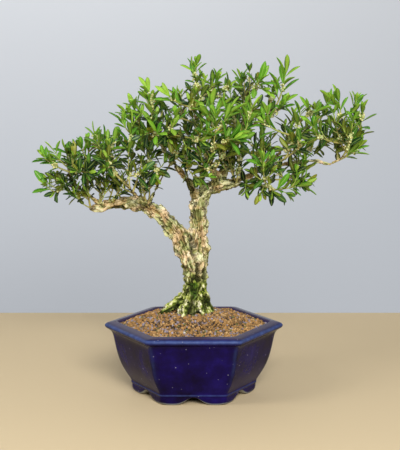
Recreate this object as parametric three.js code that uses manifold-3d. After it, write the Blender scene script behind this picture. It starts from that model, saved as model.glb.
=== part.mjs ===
// Chinese boxwood bonsai: an old shrub with two fused stems in a glazed hexagonal pot.
// Millimetres, +Z up. The pot stands on Z = 0, and the tree shows its front towards -Y.
import * as THREE from 'three';
import { mergeVertices } from 'three/addons/utils/BufferGeometryUtils.js';
import Module from 'manifold-3d';

const wasm = await Module();
wasm.setup();

// Pot
const RIM_RADIUS = 100; // from the centre to a corner
const POT_HEIGHT = 80;
const FOOT_HEIGHT = 10;
const FLOOR_TOP = 17;
const CORNER_ROUNDING = 3;
const ARCH_WIDTH = 38;
const DRAIN_RADIUS = 11;
const POT_CENTRE = [-9, -6]; // the crown reaches further to the right and back than the pot does

// Drain mesh
const MESH_HOLES = 3; // along each side
const MESH_HOLE = 7;
const MESH_BAR = 2.4;
const MESH_THICKNESS = 1.2;

// Soil
const SOIL_EDGE_HEIGHT = 75.5;
const SOIL_CROWN = 9; // how far the mound rises from the wall to the trunk
const GRAIN_ROWS = 7; // from the middle of the soil to a side
const GRAIN_SPACING = 12.1;
const GRAIN_RELIEF = 1.5;

// Wood and foliage
const TRUNK_FOOT = [1, 13];
const CLEARANCE = 0.3; // between pieces that rest in each other
const BARK_RELIEF = 0.085; // as a share of the stem's radius
const STEM_RADIUS = 1.25; // of a leafy stem where it leaves the wood
const STEM_TIP_RADIUS = 0.75;
const SHORTEST_STEM = 14;
const LONGEST_SPAN = 14; // of a bare stretch in one straight run
const SEAT_SPACING = 5;
const NODE_HEIGHT = 1.2; // of the joint that a pair of leaves grows from
const BLADE_THICKNESS = 0.65;
// Both leaves are narrow at the foot and widest past the middle: the old one has a blunt tip.
// An outline lists share of length, share of half width and rise.
const OLD_LEAF = {
  length: 19.5,
  width: 7,
  splay: 52,
  spacing: 9,
  arch: 0.16,
  outline: [[0.64, -1, 0.2], [1, -0.42, -0.2], [1, 0.42, -0.2], [0.64, 1, 0.2]],
};
const NEW_LEAF = {
  length: 24,
  width: 6.2,
  splay: 36,
  spacing: 8,
  arch: 0.1,
  outline: [[0.38, -0.72, 0], [0.76, -1, 0.4], [1, 0, -0.4], [0.76, 1, 0.4], [0.38, 0.72, 0]],
};

const degrees = THREE.MathUtils.degToRad;
const UP = new THREE.Vector3(0, 0, 1);

// Repeatable draws between 0 and 1
function seeded(seed) {
  let state = seed;
  const draw = () => {
    state = (state * 1664525 + 1013904223) % 4294967296;
    return state / 4294967296;
  };
  for (let i = 0; i < 3; i += 1) draw();
  return draw;
}

// Solids and geometry
function solidOf(geometry) {
  const bare = geometry.clone();
  bare.deleteAttribute('normal');
  bare.deleteAttribute('uv');
  const merged = mergeVertices(bare, 1e-4);
  return new wasm.Manifold(
    new wasm.Mesh({
      numProp: 3,
      vertProperties: new Float32Array(merged.attributes.position.array),
      triVerts: new Uint32Array(merged.index.array),
    }),
  );
}

function geometryOf(solid) {
  const mesh = solid.getMesh();
  const geometry = new THREE.BufferGeometry();
  geometry.setAttribute('position', new THREE.BufferAttribute(mesh.vertProperties, 3));
  geometry.setIndex(new THREE.BufferAttribute(mesh.triVerts, 1));
  geometry.computeVertexNormals();
  return geometry;
}

function fuse(solids) {
  return solids.reduce((joined, next) => joined.add(next));
}

function largestBody(solid) {
  return solid.decompose().sort((a, b) => b.volume() - a.volume())[0];
}

// A closed skin over rings of equal count, each turning anticlockwise about the way they advance
function loft(rings) {
  const count = rings[0].length;
  const positions = rings.flat().flatMap((p) => [p.x, p.y, p.z]);
  const index = [];
  for (let i = 0; i + 1 < rings.length; i += 1) {
    for (let j = 0; j < count; j += 1) {
      const a = i * count + j;
      const b = i * count + ((j + 1) % count);
      index.push(a, b, b + count, a, b + count, a + count);
    }
  }
  const last = (rings.length - 1) * count;
  for (let j = 1; j + 1 < count; j += 1) {
    index.push(0, j + 1, j, last, last + j, last + j + 1);
  }
  const geometry = new THREE.BufferGeometry();
  geometry.setAttribute('position', new THREE.Float32BufferAttribute(positions, 3));
  geometry.setIndex(index);
  return geometry;
}

// A level hexagon with a corner on the X axis, each corner rounded over the given turns
function hexagon(radius, height, turns) {
  const points = [];
  for (let corner = 0; corner < 6; corner += 1) {
    const middle = degrees(60 * corner);
    const inset = radius - CORNER_ROUNDING / Math.cos(degrees(30));
    for (const turn of turns) {
      const angle = middle + degrees(turn);
      points.push(
        new THREE.Vector3(
          inset * Math.cos(middle) + CORNER_ROUNDING * Math.cos(angle),
          inset * Math.sin(middle) + CORNER_ROUNDING * Math.sin(angle),
          height,
        ),
      );
    }
  }
  return points;
}

function hexagonalSolid(section, turns = [-30, 30]) {
  return solidOf(loft(section.map(([radius, height]) => hexagon(radius, height, turns))));
}

// Each section is a list of corner radius and height, from the bottom up.
const BODY_SECTION = [
  [68, FOOT_HEIGHT],
  [70, 11.5],
  [76.5, 22],
  [83, 34],
  [91, 66],
  [96.5, 71],
  [RIM_RADIUS, 73.5],
  [RIM_RADIUS, 76.5],
  [97, 78.6],
  [86, POT_HEIGHT],
];
const CAVITY_SECTION = [
  [58, FLOOR_TOP],
  [67, 23],
  [75, 36],
  [82, 66],
  [85, POT_HEIGHT + 1],
];
const FOOT_SECTION = [
  [66, 0],
  [68.5, 5],
  [69.5, FOOT_HEIGHT + 1],
];

// The arch between two feet, with its shoulders curved in like a cloud
function archShape() {
  const half = ARCH_WIDTH / 2;
  const shape = new THREE.Shape();
  shape.moveTo(half, -1);
  shape.lineTo(half, 0.6);
  shape.lineTo(half - 4, 1.4);
  shape.lineTo(half - 8, 4.6);
  shape.lineTo(half - 12, 8.4);
  shape.lineTo(-half + 12, 8.4);
  shape.lineTo(-half + 8, 4.6);
  shape.lineTo(-half + 4, 1.4);
  shape.lineTo(-half, 0.6);
  shape.lineTo(-half, -1);
  return shape;
}

function potSolid() {
  const span = 2 * RIM_RADIUS;
  const wall = 9;
  const insideFeet = FOOT_SECTION.map(([radius, height]) => [radius - wall, height]);
  insideFeet[0][1] = -1;
  insideFeet[2][1] = FOOT_HEIGHT;
  const rounded = [-30, 0, 30];
  let pot = hexagonalSolid(BODY_SECTION, rounded).subtract(hexagonalSolid(CAVITY_SECTION));
  const feet = hexagonalSolid(FOOT_SECTION, rounded).subtract(hexagonalSolid(insideFeet));
  pot = pot.add(feet);
  for (let side = 0; side < 3; side += 1) {
    const arch = new THREE.ExtrudeGeometry(archShape(), { depth: span, bevelEnabled: false });
    arch.translate(0, 0, -span / 2).rotateX(Math.PI / 2).rotateZ(degrees(60 * side));
    pot = pot.subtract(solidOf(arch));
  }
  const drain = new THREE.CylinderGeometry(DRAIN_RADIUS, DRAIN_RADIUS, 3 * FOOT_HEIGHT, 9);
  drain.rotateX(Math.PI / 2).translate(0, 0, FOOT_HEIGHT);
  return pot.subtract(solidOf(drain));
}

// A square of plastic mesh that keeps the soil off the drain hole
function drainMeshSize() {
  return MESH_HOLES * MESH_HOLE + (MESH_HOLES + 1) * MESH_BAR;
}

function drainMeshSolid() {
  const size = drainMeshSize();
  const pitch = MESH_HOLE + MESH_BAR;
  let plate = solidOf(new THREE.BoxGeometry(size, size, MESH_THICKNESS));
  for (let i = 0; i < MESH_HOLES ** 2; i += 1) {
    const [column, row] = [i % MESH_HOLES, Math.floor(i / MESH_HOLES)];
    const hole = new THREE.BoxGeometry(MESH_HOLE, MESH_HOLE, 2 * MESH_THICKNESS);
    const middle = (MESH_HOLES - 1) / 2;
    plate = plate.subtract(solidOf(hole.translate((column - middle) * pitch, (row - middle) * pitch, 0)));
  }
  return plate.translate(0, 0, FLOOR_TOP + CLEARANCE + MESH_THICKNESS / 2);
}

// Soil: a mound whose top is a net of raised and sunk grains
function soilHeight(x, y) {
  const reach = Math.hypot(x - TRUNK_FOOT[0], y - TRUNK_FOOT[1]) / 85;
  return SOIL_EDGE_HEIGHT + SOIL_CROWN * Math.max(0, 1 - reach) ** 1.2;
}

function soilSolid(wood) {
  const draw = seeded(5);
  const rows = GRAIN_ROWS;
  const top = [];
  const place = new Map();
  for (let q = -rows; q <= rows; q += 1) {
    for (let r = -rows; r <= rows; r += 1) {
      if (Math.abs(q + r) > rows) continue;
      const x = GRAIN_SPACING * (q + r / 2);
      const y = GRAIN_SPACING * r * Math.sin(degrees(60));
      const onEdge = Math.max(Math.abs(q), Math.abs(r), Math.abs(q + r)) === rows;
      const relief = onEdge ? 0 : GRAIN_RELIEF * (((q - r) % 3 === 0 ? 1 : 0) - draw());
      const shift = onEdge ? 0 : 1.6 * (draw() - 0.5);
      place.set(`${q},${r}`, top.length);
      top.push(new THREE.Vector3(x + shift, y - shift, soilHeight(x, y) + relief));
    }
  }
  const index = [];
  for (const [key, a] of place) {
    const [q, r] = key.split(',').map(Number);
    const b = place.get(`${q + 1},${r}`);
    const c = place.get(`${q},${r + 1}`);
    const d = place.get(`${q + 1},${r - 1}`);
    if (b !== undefined && c !== undefined) index.push(a, b, c);
    if (b !== undefined && d !== undefined) index.push(a, d, b);
  }
  // The rim of the net goes straight down to a flat bottom.
  const ring = [];
  const steps = [[0, 1], [-1, 1], [-1, 0], [0, -1], [1, -1], [1, 0]];
  let q = rows;
  let r = -rows;
  for (const [dq, dr] of steps) {
    for (let i = 0; i < rows; i += 1) {
      q += dq;
      r += dr;
      ring.push(place.get(`${q},${r}`));
    }
  }
  const bottom = top.length;
  const points = [...top, ...ring.map((i) => new THREE.Vector3(top[i].x, top[i].y, FLOOR_TOP - 5))];
  ring.forEach((i, k) => {
    const next = (k + 1) % ring.length;
    index.push(i, bottom + k, bottom + next, i, bottom + next, ring[next]);
    if (k > 1) index.push(bottom, bottom + k, bottom + k - 1);
  });
  const net = new THREE.BufferGeometry();
  net.setAttribute(
    'position',
    new THREE.Float32BufferAttribute(points.flatMap((p) => [p.x, p.y, p.z]), 3),
  );
  net.setIndex(index);
  const filling = CAVITY_SECTION.map(([radius, height]) => [radius - 1.3 * CLEARANCE, height]);
  filling[0][1] = FLOOR_TOP + CLEARANCE;
  const pocket = new THREE.BoxGeometry(drainMeshSize() + 1, drainMeshSize() + 1, 4 * MESH_THICKNESS);
  pocket.translate(0, 0, FLOOR_TOP + 2 * CLEARANCE - MESH_THICKNESS);
  return largestBody(
    solidOf(net).intersect(hexagonalSolid(filling)).subtract(solidOf(pocket)).subtract(wood),
  );
}

// A round stem along a smooth line of [x, y, z, radius] points
function stemLine(points, perSpan) {
  const places = points.map(([x, y, z]) => new THREE.Vector3(x, y, z));
  const curve = new THREE.CatmullRomCurve3(places, false, 'catmullrom', 0.5);
  const spans = points.length - 1;
  const line = [];
  for (let i = 0; i <= spans * perSpan; i += 1) {
    const span = Math.min(Math.floor(i / perSpan), spans - 1);
    const share = i / perSpan - span;
    const radius = points[span][3] * (1 - share) + points[span + 1][3] * share;
    line.push({ at: curve.getPoint(i / (spans * perSpan)), radius });
  }
  return line;
}

function stemSolid(line, sides, { relief = 0, seed = 1, swell = 0 } = {}) {
  const draw = seeded(seed);
  const tangents = line.map((_, i) => {
    const ahead = line[Math.min(i + 1, line.length - 1)].at;
    return ahead.clone().sub(line[Math.max(i - 1, 0)].at).normalize();
  });
  let across = new THREE.Vector3(0.31, -0.9, 0.3);
  const rings = line.map(({ at, radius }, i) => {
    across.addScaledVector(tangents[i], -across.dot(tangents[i])).normalize();
    const beside = tangents[i].clone().cross(across);
    const atEnd = i === 0 ? -1 : i === line.length - 1 ? 1 : 0;
    const centre = at.clone().addScaledVector(tangents[i], atEnd * swell);
    const ring = [];
    for (let j = 0; j < sides; j += 1) {
      const angle = (2 * Math.PI * j) / sides;
      const ridge = Math.sin(3 * angle + 0.55 * i) + 1.3 * (draw() - 0.5);
      const reach = radius * (1 + relief * ridge) + swell;
      ring.push(
        centre
          .clone()
          .addScaledVector(across, reach * Math.cos(angle))
          .addScaledVector(beside, reach * Math.sin(angle)),
      );
    }
    return ring;
  });
  return solidOf(loft(rings));
}

// The wood, grown as one piece. Each line holds [x, y, z, radius] from its root to its end.
const STEMS = {
  leftStem: [
    [-7, 10, 66, 13], [-6, 9, 86, 12.5], [-4, 8, 104, 10.8], [-1, 8, 130, 9.6], [-6, 9, 148, 12],
    [-13, 10, 166, 11.5], [-24, 12, 184, 10], [-38, 13, 198, 8.8], [-54, 13, 207, 7.4],
    [-70, 11, 210, 5.6], [-86, 8, 209, 4.8], [-102, 4, 208, 4.2], [-114, 1, 206, 2.8],
  ],
  rightStem: [
    [9, 17, 66, 12], [9, 17, 88, 11], [7, 18, 108, 10], [5, 15, 130, 9.8], [7, 14, 150, 10.6],
    [6, 13, 168, 9.8], [6, 13, 188, 9.6], [5, 13, 206, 10.4], [11, 13, 219, 10.4], [23, 12, 228, 8.8],
    [37, 11, 232, 7], [50, 9, 236, 5],
  ],
};
const ROOTS = [
  [[-8, 12, 106, 7], [-19, 13, 97, 6.5], [-32, 14, 89, 5], [-46, 14, 82, 3.8], [-58, 16, 73, 2.6]],
  [[10, 16, 104, 6], [18, 15, 93, 5.5], [26, 14, 84, 4.4], [36, 14, 75, 3]],
  [[-4, 6, 100, 7], [-9, -4, 90, 5.8], [-15, -14, 82, 4], [-22, -24, 73, 2.8]],
  [[8, 12, 98, 6], [12, 2, 88, 5], [17, -7, 80, 3.8], [22, -14, 73, 2.6]],
  [[-2, 16, 100, 7], [-10, 27, 90, 5.4], [-18, 37, 81, 4], [-26, 45, 73, 2.8]],
  [[8, 20, 98, 6], [14, 30, 89, 5], [20, 38, 80, 3.8], [27, 45, 73, 2.6]],
];
const BRANCHES = {
  limb: [
    [44, 10, 234, 5], [62, 6, 242, 3.9], [80, 4, 250, 3.4], [98, 2, 255, 3.1], [114, 0, 257, 2.9],
    [132, -2, 259, 2.6], [148, -4, 255, 2.2], [160, -6, 262, 1.9], [168, -8, 270, 1.5],
  ],
  leader: [
    [22, 12, 226, 7], [33, 20, 246, 6], [46, 27, 270, 5.3], [55, 30, 296, 4.8], [61, 30, 316, 3.6],
    [58, 25, 336, 1.8],
  ],
  crownLeft: [[4, 14, 212, 7], [-7, 6, 236, 4.6], [-20, -2, 254, 3.8], [-36, -8, 277, 3], [-46, -10, 296, 1.8]],
  crownBack: [[8, 16, 212, 6], [10, 38, 232, 4], [6, 60, 252, 3.2], [0, 76, 270, 1.8]],
  crownFront: [[22, 8, 228, 5.5], [24, -10, 240, 3.8], [20, -30, 254, 3], [18, -46, 270, 1.8]],
  crownMiddle: [[28, 14, 236, 4.6], [18, 10, 256, 3.6], [8, 6, 278, 3], [2, 2, 300, 2.4], [1, -2, 322, 1.6]],
  leaderBack: [[46, 27, 272, 3.6], [48, 48, 286, 2.6], [48, 66, 298, 1.6]],
  leaderRight: [[50, 28, 282, 4], [66, 24, 296, 2.8], [82, 17, 308, 2.2], [92, 12, 320, 1.5]],
  limbFront: [[80, 4, 250, 3], [88, -14, 257, 2.4], [100, -30, 264, 1.6]],
  limbBack: [[66, 6, 243, 3.4], [80, 26, 254, 2.6], [98, 42, 264, 1.7]],
  lowFront: [[40, 8, 230, 4], [60, -8, 236, 2.5], [78, -18, 240, 2], [90, -24, 246, 1.4]],
  leftFront: [[-44, 12, 202, 4], [-54, -8, 214, 2.8], [-66, -26, 228, 2.3], [-76, -36, 242, 1.6]],
  leftBack: [[-62, 12, 208, 3.8], [-70, 32, 222, 2.7], [-82, 48, 236, 1.7]],
  leftRise: [[-100, 4, 208, 3.6], [-116, 2, 221, 3], [-131, 0, 234, 2.2], [-138, -2, 246, 1.5]],
  leftInner: [[-52, 13, 208, 3.6], [-38, 8, 232, 2.2], [-30, 4, 250, 1.5]],
};

const WOOD = [
  ...Object.values(STEMS).map((points) => ({ points, perSpan: 2, sides: 10, relief: BARK_RELIEF })),
  ...ROOTS.map((points) => ({ points, perSpan: 1, sides: 6, relief: BARK_RELIEF })),
  ...Object.values(BRANCHES).map((points) => ({ points, perSpan: 1, sides: 5, relief: 0.04 })),
];
const WOOD_LINES = WOOD.map(({ points, perSpan }) => stemLine(points, perSpan));

function woodSolid(swell) {
  return fuse(
    WOOD.map(({ sides, relief }, i) =>
      stemSolid(WOOD_LINES[i], sides, { relief, seed: 11 + i, swell }),
    ),
  );
}

// Leafy sprays of old, dark foliage: each is a forked stem, given by the ends of its shoots.
const SPRAYS = {
  left_tip: [[-154, 8, 238], [-150, -12, 226]],
  left_rise_front: [[-128, -28, 264], [-112, -46, 251]],
  left_rise_back: [[-136, 34, 265], [-121, 62, 246]],
  left_top: [[-115, 2, 270], [-85, 8, 272]],
  left_front: [[-101, -36, 280], [-90, -54, 265]],
  left_back: [[-105, 34, 278], [-93, 56, 252]],
  left_inner_front: [[-70, -26, 271], [-56, -40, 250]],
  left_inner_back: [[-69, 42, 267], [-50, 54, 254]],
  left_inner: [[-54, 0, 268], [-39, -14, 248]],
  crown_left: [[-59, 18, 296], [-51, 34, 279]],
  crown_left_top: [[-45, -8, 311], [-40, -32, 288]],
  crown_top_left: [[-28, 14, 313], [-15, 26, 327]],
  crown_front_left: [[-23, -44, 298], [7, -62, 286]],
  crown_low_left: [[-19, -22, 272], [0, -22, 243]],
  crown_top: [[-4, -16, 323], [10, 10, 334]],
  crown_low_front: [[10, -42, 260], [33, -38, 272]],
  crown_front: [[23, -70, 301], [53, -48, 293]],
  crown_top_back: [[20, 34, 332], [37, 2, 339]],
  crown_right_top: [[54, 42, 331], [64, 12, 311]],
  crown_back_right: [[43, 66, 317], [53, 82, 288]],
  crown_low_right: [[61, -20, 268], [76, 34, 283]],
  crown_back: [[-9, 56, 290], [7, 82, 299]],
  crown_back_left: [[-27, 72, 275], [24, 64, 265]],
  right_inner_top: [[92, 6, 314], [83, 46, 314]],
  right_top: [[114, -22, 311], [129, 2, 301]],
  right_back_top: [[109, 28, 295], [144, 32, 306]],
  right_top_front: [[153, -12, 300], [133, -32, 288]],
  right_front: [[113, -42, 283], [98, -14, 272]],
  right_tip: [[169, -24, 294], [172, 12, 278]],
  right_tip_back: [[158, 30, 286], [183, 20, 286]],
  right_back: [[125, 50, 266], [154, 54, 275]],
  right_low: [[112, 2, 236], [114, -24, 250]],
  right_low_front: [[84, -36, 230], [74, -46, 250]],
};

// Shoots of the new, bright growth, given by their ends
const NEW_SHOOTS = {
  new_top: [-1, -8, 357],
  new_top_back: [13, 16, 345],
  new_crown_left: [-48, -12, 334],
  new_crown_left_front: [-25, -30, 329],
  new_crown_far_left: [-64, 2, 314],
  new_crown_low_left: [-66, -22, 299],
  new_left_top_front: [-86, -26, 280],
  new_crown_right: [71, -8, 345],
  new_leader: [100, 12, 351],
  new_front_high: [19, -50, 319],
  new_front_middle: [36, -58, 314],
  new_front_low: [40, -62, 290],
  new_front_right: [60, -40, 316],
  new_side_right: [76, -30, 302],
  new_low_right: [74, -44, 258],
  new_right_top: [156, -14, 324],
  new_right_far: [183, 2, 310],
  new_right_inner: [124, -20, 314],
  new_left_far: [-159, -10, 262],
  new_left_rise: [-137, 8, 266],
  new_left_top: [-107, 0, 285],
  new_right_tip: [177, 4, 270],
};

// A stem that leaves its holder sideways and turns up towards its end
function stemCurve(from, to, bend = [0, 0, 0]) {
  const middle = new THREE.Vector3(
    0.35 * from.x + 0.65 * to.x + bend[0],
    0.35 * from.y + 0.65 * to.y + bend[1],
    0.68 * from.z + 0.32 * to.z + bend[2],
  );
  return new THREE.QuadraticBezierCurve3(from, middle, to);
}

// Where each stem leaves its holder, so that no two leave it at one place
const seats = [];

// The point of the given lines that an end is best grown from: near, and not above it
function bestSeat(lines, to) {
  let best = null;
  for (const line of lines) {
    for (let i = 0; i + 1 < line.length; i += 1) {
      for (const share of [0, 0.25, 0.5, 0.75]) {
        const at = line[i].at.clone().lerp(line[i + 1].at, share);
        const distance = at.distanceTo(to);
        const cost = distance + 2 * Math.max(0, at.z + 12 - to.z);
        const isFree = distance > SHORTEST_STEM && seats.every((seat) => seat.distanceTo(at) > SEAT_SPACING);
        if (isFree && (!best || cost < best.cost)) best = { at, cost };
      }
    }
  }
  seats.push(best.at);
  return best.at;
}

// The frames along a shoot: a ring of four corners each, two rings at each pair of leaves.
// Facet j of a node faces along side[j], and the pairs take facets 0 and 2, then 1 and 3.
function shootFrames(curve, form, pairs, thick, turn) {
  const length = curve.getLength();
  const shares = [];
  for (let pair = pairs - 1; pair >= 0; pair -= 1) {
    const node = Math.max(0.2, 1 - (pair * form.spacing + 1.5) / length);
    shares.push(node - NODE_HEIGHT / 2 / length, node + NODE_HEIGHT / 2 / length);
  }
  if (length * shares[0] > LONGEST_SPAN) shares.unshift(0.5 * shares[0]);
  shares.unshift(0);
  let across = new THREE.Vector3(0.31, -0.9, 0.3).applyAxisAngle(curve.getTangent(0), turn);
  return shares.map((share) => {
    const axis = curve.getTangent(share);
    across = across.clone().addScaledVector(axis, -across.dot(axis)).normalize();
    const beside = axis.clone().cross(across);
    const sides = [across, beside, across.clone().negate(), beside.clone().negate()];
    const radius = THREE.MathUtils.lerp(thick, STEM_TIP_RADIUS, share);
    return { at: curve.getPoint(share), axis, sides, radius };
  });
}

// The leaves of a shoot in crossed pairs, listed from its end backwards
function leafPlan(frames, form, pairs, draw) {
  const plan = [];
  for (let pair = 0; pair < pairs; pair += 1) {
    const node = frames.length - 2 - 2 * pair;
    const { at, axis, sides } = frames[node];
    for (const facet of [pair % 2, (pair % 2) + 2]) {
      const size = (0.84 + 0.32 * draw()) * (pair === 0 ? 0.92 : 1);
      const open = form.splay * (pair === 0 ? 0.62 : 1) + 22 * (draw() - 0.5);
      const roll = 0.5 * (draw() - 0.5);
      plan.push({ node, facet, at, axis, side: sides[facet], size, open, roll, swing: 0 });
    }
  }
  return plan;
}


function bladePoints(leaf, form, outline, swell, thickness = BLADE_THICKNESS) {
  const { at, axis, side, size, open, roll, swing } = leaf;
  const aside = side.clone().applyAxisAngle(axis, degrees(swing));
  const sine = Math.sin(degrees(open));
  const cosine = Math.cos(degrees(open));
  const ahead = axis.clone().multiplyScalar(cosine).addScaledVector(aside, sine);
  const face = axis.clone().multiplyScalar(sine).addScaledVector(aside, -cosine);
  face.addScaledVector(UP, 0.6).addScaledVector(ahead, -0.6 * ahead.dot(UP));
  face.normalize().applyAxisAngle(ahead, roll);
  const left = face.clone().cross(ahead);
  const length = form.length * size;
  const half = (form.width * size) / 2 + swell;
  const place = ([share, across, rise], depth) =>
    at
      .clone()
      .addScaledVector(ahead, share * (length + swell))
      .addScaledVector(left, across * half)
      .addScaledVector(face, rise - form.arch * length * share * share + depth);
  const depth = thickness / 2 + swell;
  return [outline.map((point) => place(point, depth)), outline.map((point) => place(point, -depth))];
}

function meshSolid(points, index) {
  const geometry = new THREE.BufferGeometry();
  const positions = points.flatMap((p) => [p.x, p.y, p.z]);
  geometry.setAttribute('position', new THREE.Float32BufferAttribute(positions, 3));
  geometry.setIndex(index);
  return solidOf(geometry);
}

// Adds a blade's faces, from the four corners of its foot: lower right, lower left,
// upper left and upper right, looking along the blade.
function addBlade(points, index, [lowRight, lowLeft, highLeft, highRight], top, under) {
  const first = points.length;
  const count = top.length;
  points.push(...top, ...under);
  const edge = [highRight, ...top.map((_, i) => first + i), highLeft];
  const lowEdge = [lowRight, ...top.map((_, i) => first + count + i), lowLeft];
  for (let i = 0; i <= count; i += 1) {
    index.push(edge[i], lowEdge[i], edge[i + 1], edge[i + 1], lowEdge[i], lowEdge[i + 1]);
  }
  let right = 0;
  let left = count + 1;
  while (left - right > 1) {
    const takesLeft = (right + left) % 2 === 0;
    const apex = takesLeft ? left - 1 : right + 1;
    index.push(edge[right], edge[apex], edge[left], lowEdge[right], lowEdge[left], lowEdge[apex]);
    if (takesLeft) left = apex;
    else right = apex;
  }
}

// A blade by itself from a share of its length on: what other pieces keep clear of
function bladeSolid(leaf, form, swell, from) {
  const foot = [[from, -0.3, 0.1], [from, 0.3, 0.1]];
  const corners = bladePoints(leaf, form, foot, swell, NODE_HEIGHT);
  const [[highRight, highLeft], [lowRight, lowLeft]] = corners;
  const [top, under] = bladePoints(leaf, form, form.outline, swell);
  const points = [lowRight, lowLeft, highLeft, highRight];
  const index = [0, 2, 1, 0, 3, 2];
  addBlade(points, index, [0, 1, 2, 3], top, under);
  return meshSolid(points, index);
}

// A shoot in one net: a square stem with a bud at its end, and blades that grow from its facets
function shootSolid(frames, leaves, form, { swell = 0, end = 0 } = {}) {
  const points = [];
  const index = [];
  for (const { at, sides, radius } of frames) {
    for (let j = 0; j < 4; j += 1) {
      const corner = sides[j].clone().add(sides[(j + 3) % 4]).multiplyScalar(Math.SQRT1_2);
      points.push(at.clone().addScaledVector(corner, radius + swell));
    }
  }
  index.push(0, 2, 1, 0, 3, 2);
  for (let i = 0; i + 1 < frames.length; i += 1) {
    for (let j = 0; j < 4; j += 1) {
      const [a, b] = [4 * i + j, 4 * i + ((j + 1) % 4)];
      const [c, d] = [b + 4, a + 4];
      const leaf = leaves.find(({ node, facet }) => node === i && facet === j);
      if (!leaf) index.push(a, b, c, a, c, d);
      else addBlade(points, index, [a, b, c, d], ...bladePoints(leaf, form, form.outline, 0));
    }
  }
  const last = frames[frames.length - 1];
  const ring = 4 * (frames.length - 1);
  const bud = points.push(last.at.clone().addScaledVector(last.axis, 1.6 + end)) - 1;
  for (let j = 0; j < 4; j += 1) index.push(ring + j, ring + ((j + 1) % 4), bud);
  return meshSolid(points, index);
}

// Pieces already in place, each with its box, so that a new one can keep clear of them
const placed = [];

function boxOf(solid) {
  const { min, max } = solid.boundingBox();
  return new THREE.Box3(new THREE.Vector3(...min), new THREE.Vector3(...max));
}

function keep(owner, solid, isStem) {
  placed.push({ owner, solid, isStem, box: boxOf(solid) });
}

function isClear(guard, ignore) {
  const box = boxOf(guard);
  return placed.every(
    (other) => ignore(other) || !box.intersectsBox(other.box) || guard.intersect(other.solid).isEmpty(),
  );
}

// Ways to bow a stem, from none outwards, until it passes its neighbours
const BOWS = [[0, 0, 0]];
for (const reach of [6, 12, 18]) {
  for (let turn = 0; turn < 360; turn += 60) {
    BOWS.push([reach * Math.cos(degrees(turn)), reach * Math.sin(degrees(turn)), reach / 3]);
  }
}

function growShoot(name, from, to, form, pairs, thick, draw) {
  const turn = 2 * Math.PI * draw();
  for (const bow of BOWS) {
    const curve = stemCurve(from, to, bow);
    const frames = shootFrames(curve, form, pairs, thick, turn);
    const start = { ...frames[0], at: from.clone().lerp(frames[1].at, 0.3) };
    const guard = shootSolid([start, ...frames.slice(1)], [], form, { swell: 2 * CLEARANCE, end: 1 });
    if (isClear(guard, ({ owner }) => owner === name)) return { curve, frames, form, pairs, draw };
  }
  return null;
}

// The bare shoots of one spray: a main one from its seat, and others from the main one
function growShoots(name, ends, lines, form, pairs, seed) {
  const [first, ...others] = ends.map((end) => new THREE.Vector3(...end));
  let main = null;
  for (let tries = 0; !main && tries < 6; tries += 1) {
    const from = bestSeat(lines, first);
    main = growShoot(name, from, first, form, pairs, STEM_RADIUS, seeded(100 * seed));
  }
  const shoots = [main];
  for (const to of others) {
    const draw = seeded(100 * seed + shoots.length);
    const from = main.curve.getPoint(0.42);
    const shoot = growShoot(name, from, to, form, pairs, 0.85 * STEM_RADIUS, draw);
    if (shoot) shoots.push(shoot);
  }
  for (const { frames } of shoots) keep(name, shootSolid(frames, [], form), true);
  return shoots;
}

// Leaves that would cross another piece are opened, closed or swung clear, or left out.
const TURNS = [[0, 0], [12, 0], [-10, 0], [0, 22], [0, -22], [24, 0], [14, 26], [14, -26], [36, 0]];

function growLeaves(name, shoots, woodGuard) {
  for (const shoot of shoots) {
    shoot.leaves = [];
    for (const leaf of leafPlan(shoot.frames, shoot.form, shoot.pairs, shoot.draw)) {
      for (const [opened, swing] of TURNS) {
        const bent = { ...leaf, open: leaf.open + opened, swing };
        const whole = bladeSolid(bent, shoot.form, CLEARANCE, 0.02);
        const past = bladeSolid(bent, shoot.form, CLEARANCE, 0.18);
        if (!isClear(whole, ({ owner }) => owner === name)) continue;
        if (!isClear(past, ({ owner, isStem }) => isStem || owner !== name)) continue;
        if (!past.intersect(woodGuard).isEmpty()) continue;
        keep(name, bladeSolid(bent, shoot.form, 0, 0.05), false);
        shoot.leaves.push(bent);
        break;
      }
    }
  }
}

const materialOf = (color, roughness, metalness = 0) =>
  new THREE.MeshStandardMaterial({ color, roughness, metalness });
const bonsai = new THREE.Group();
bonsai.position.set(...POT_CENTRE, 0);

function addPiece(name, geometry, material) {
  const mesh = new THREE.Mesh(geometry, material);
  mesh.name = name;
  bonsai.add(mesh);
}

const wood = woodSolid(0);
const woodGuard = woodSolid(CLEARANCE);
addPiece('pot', geometryOf(potSolid()), materialOf('#211944', 0.2));
addPiece('drain_mesh', geometryOf(drainMeshSolid()), materialOf('#1b1c1d', 0.7));
addPiece('soil', geometryOf(soilSolid(woodGuard)), materialOf('#98784f', 0.95));
addPiece('trunk', geometryOf(wood), materialOf('#a89d70', 0.85));

const sprays = Object.entries(SPRAYS).map(([name, ends], i) => ({
  name: `spray_${name}`,
  shoots: growShoots(`spray_${name}`, ends, WOOD_LINES, OLD_LEAF, 2, 100 + i),
}));
const oldLines = sprays.flatMap(({ shoots }) => shoots.map(({ frames }) => frames));
const newShoots = Object.entries(NEW_SHOOTS).map(([name, end], i) => ({
  name,
  shoots: growShoots(name, [end], [...WOOD_LINES, ...oldLines], NEW_LEAF, 3, 300 + i),
}));
for (const { name, shoots } of [...newShoots, ...sprays]) growLeaves(name, shoots, woodGuard);

function fused(shoots, guard) {
  const solids = shoots.map(({ frames, leaves, form }) => shootSolid(frames, leaves, form));
  return geometryOf(largestBody(fuse(solids).subtract(guard)));
}

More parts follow.
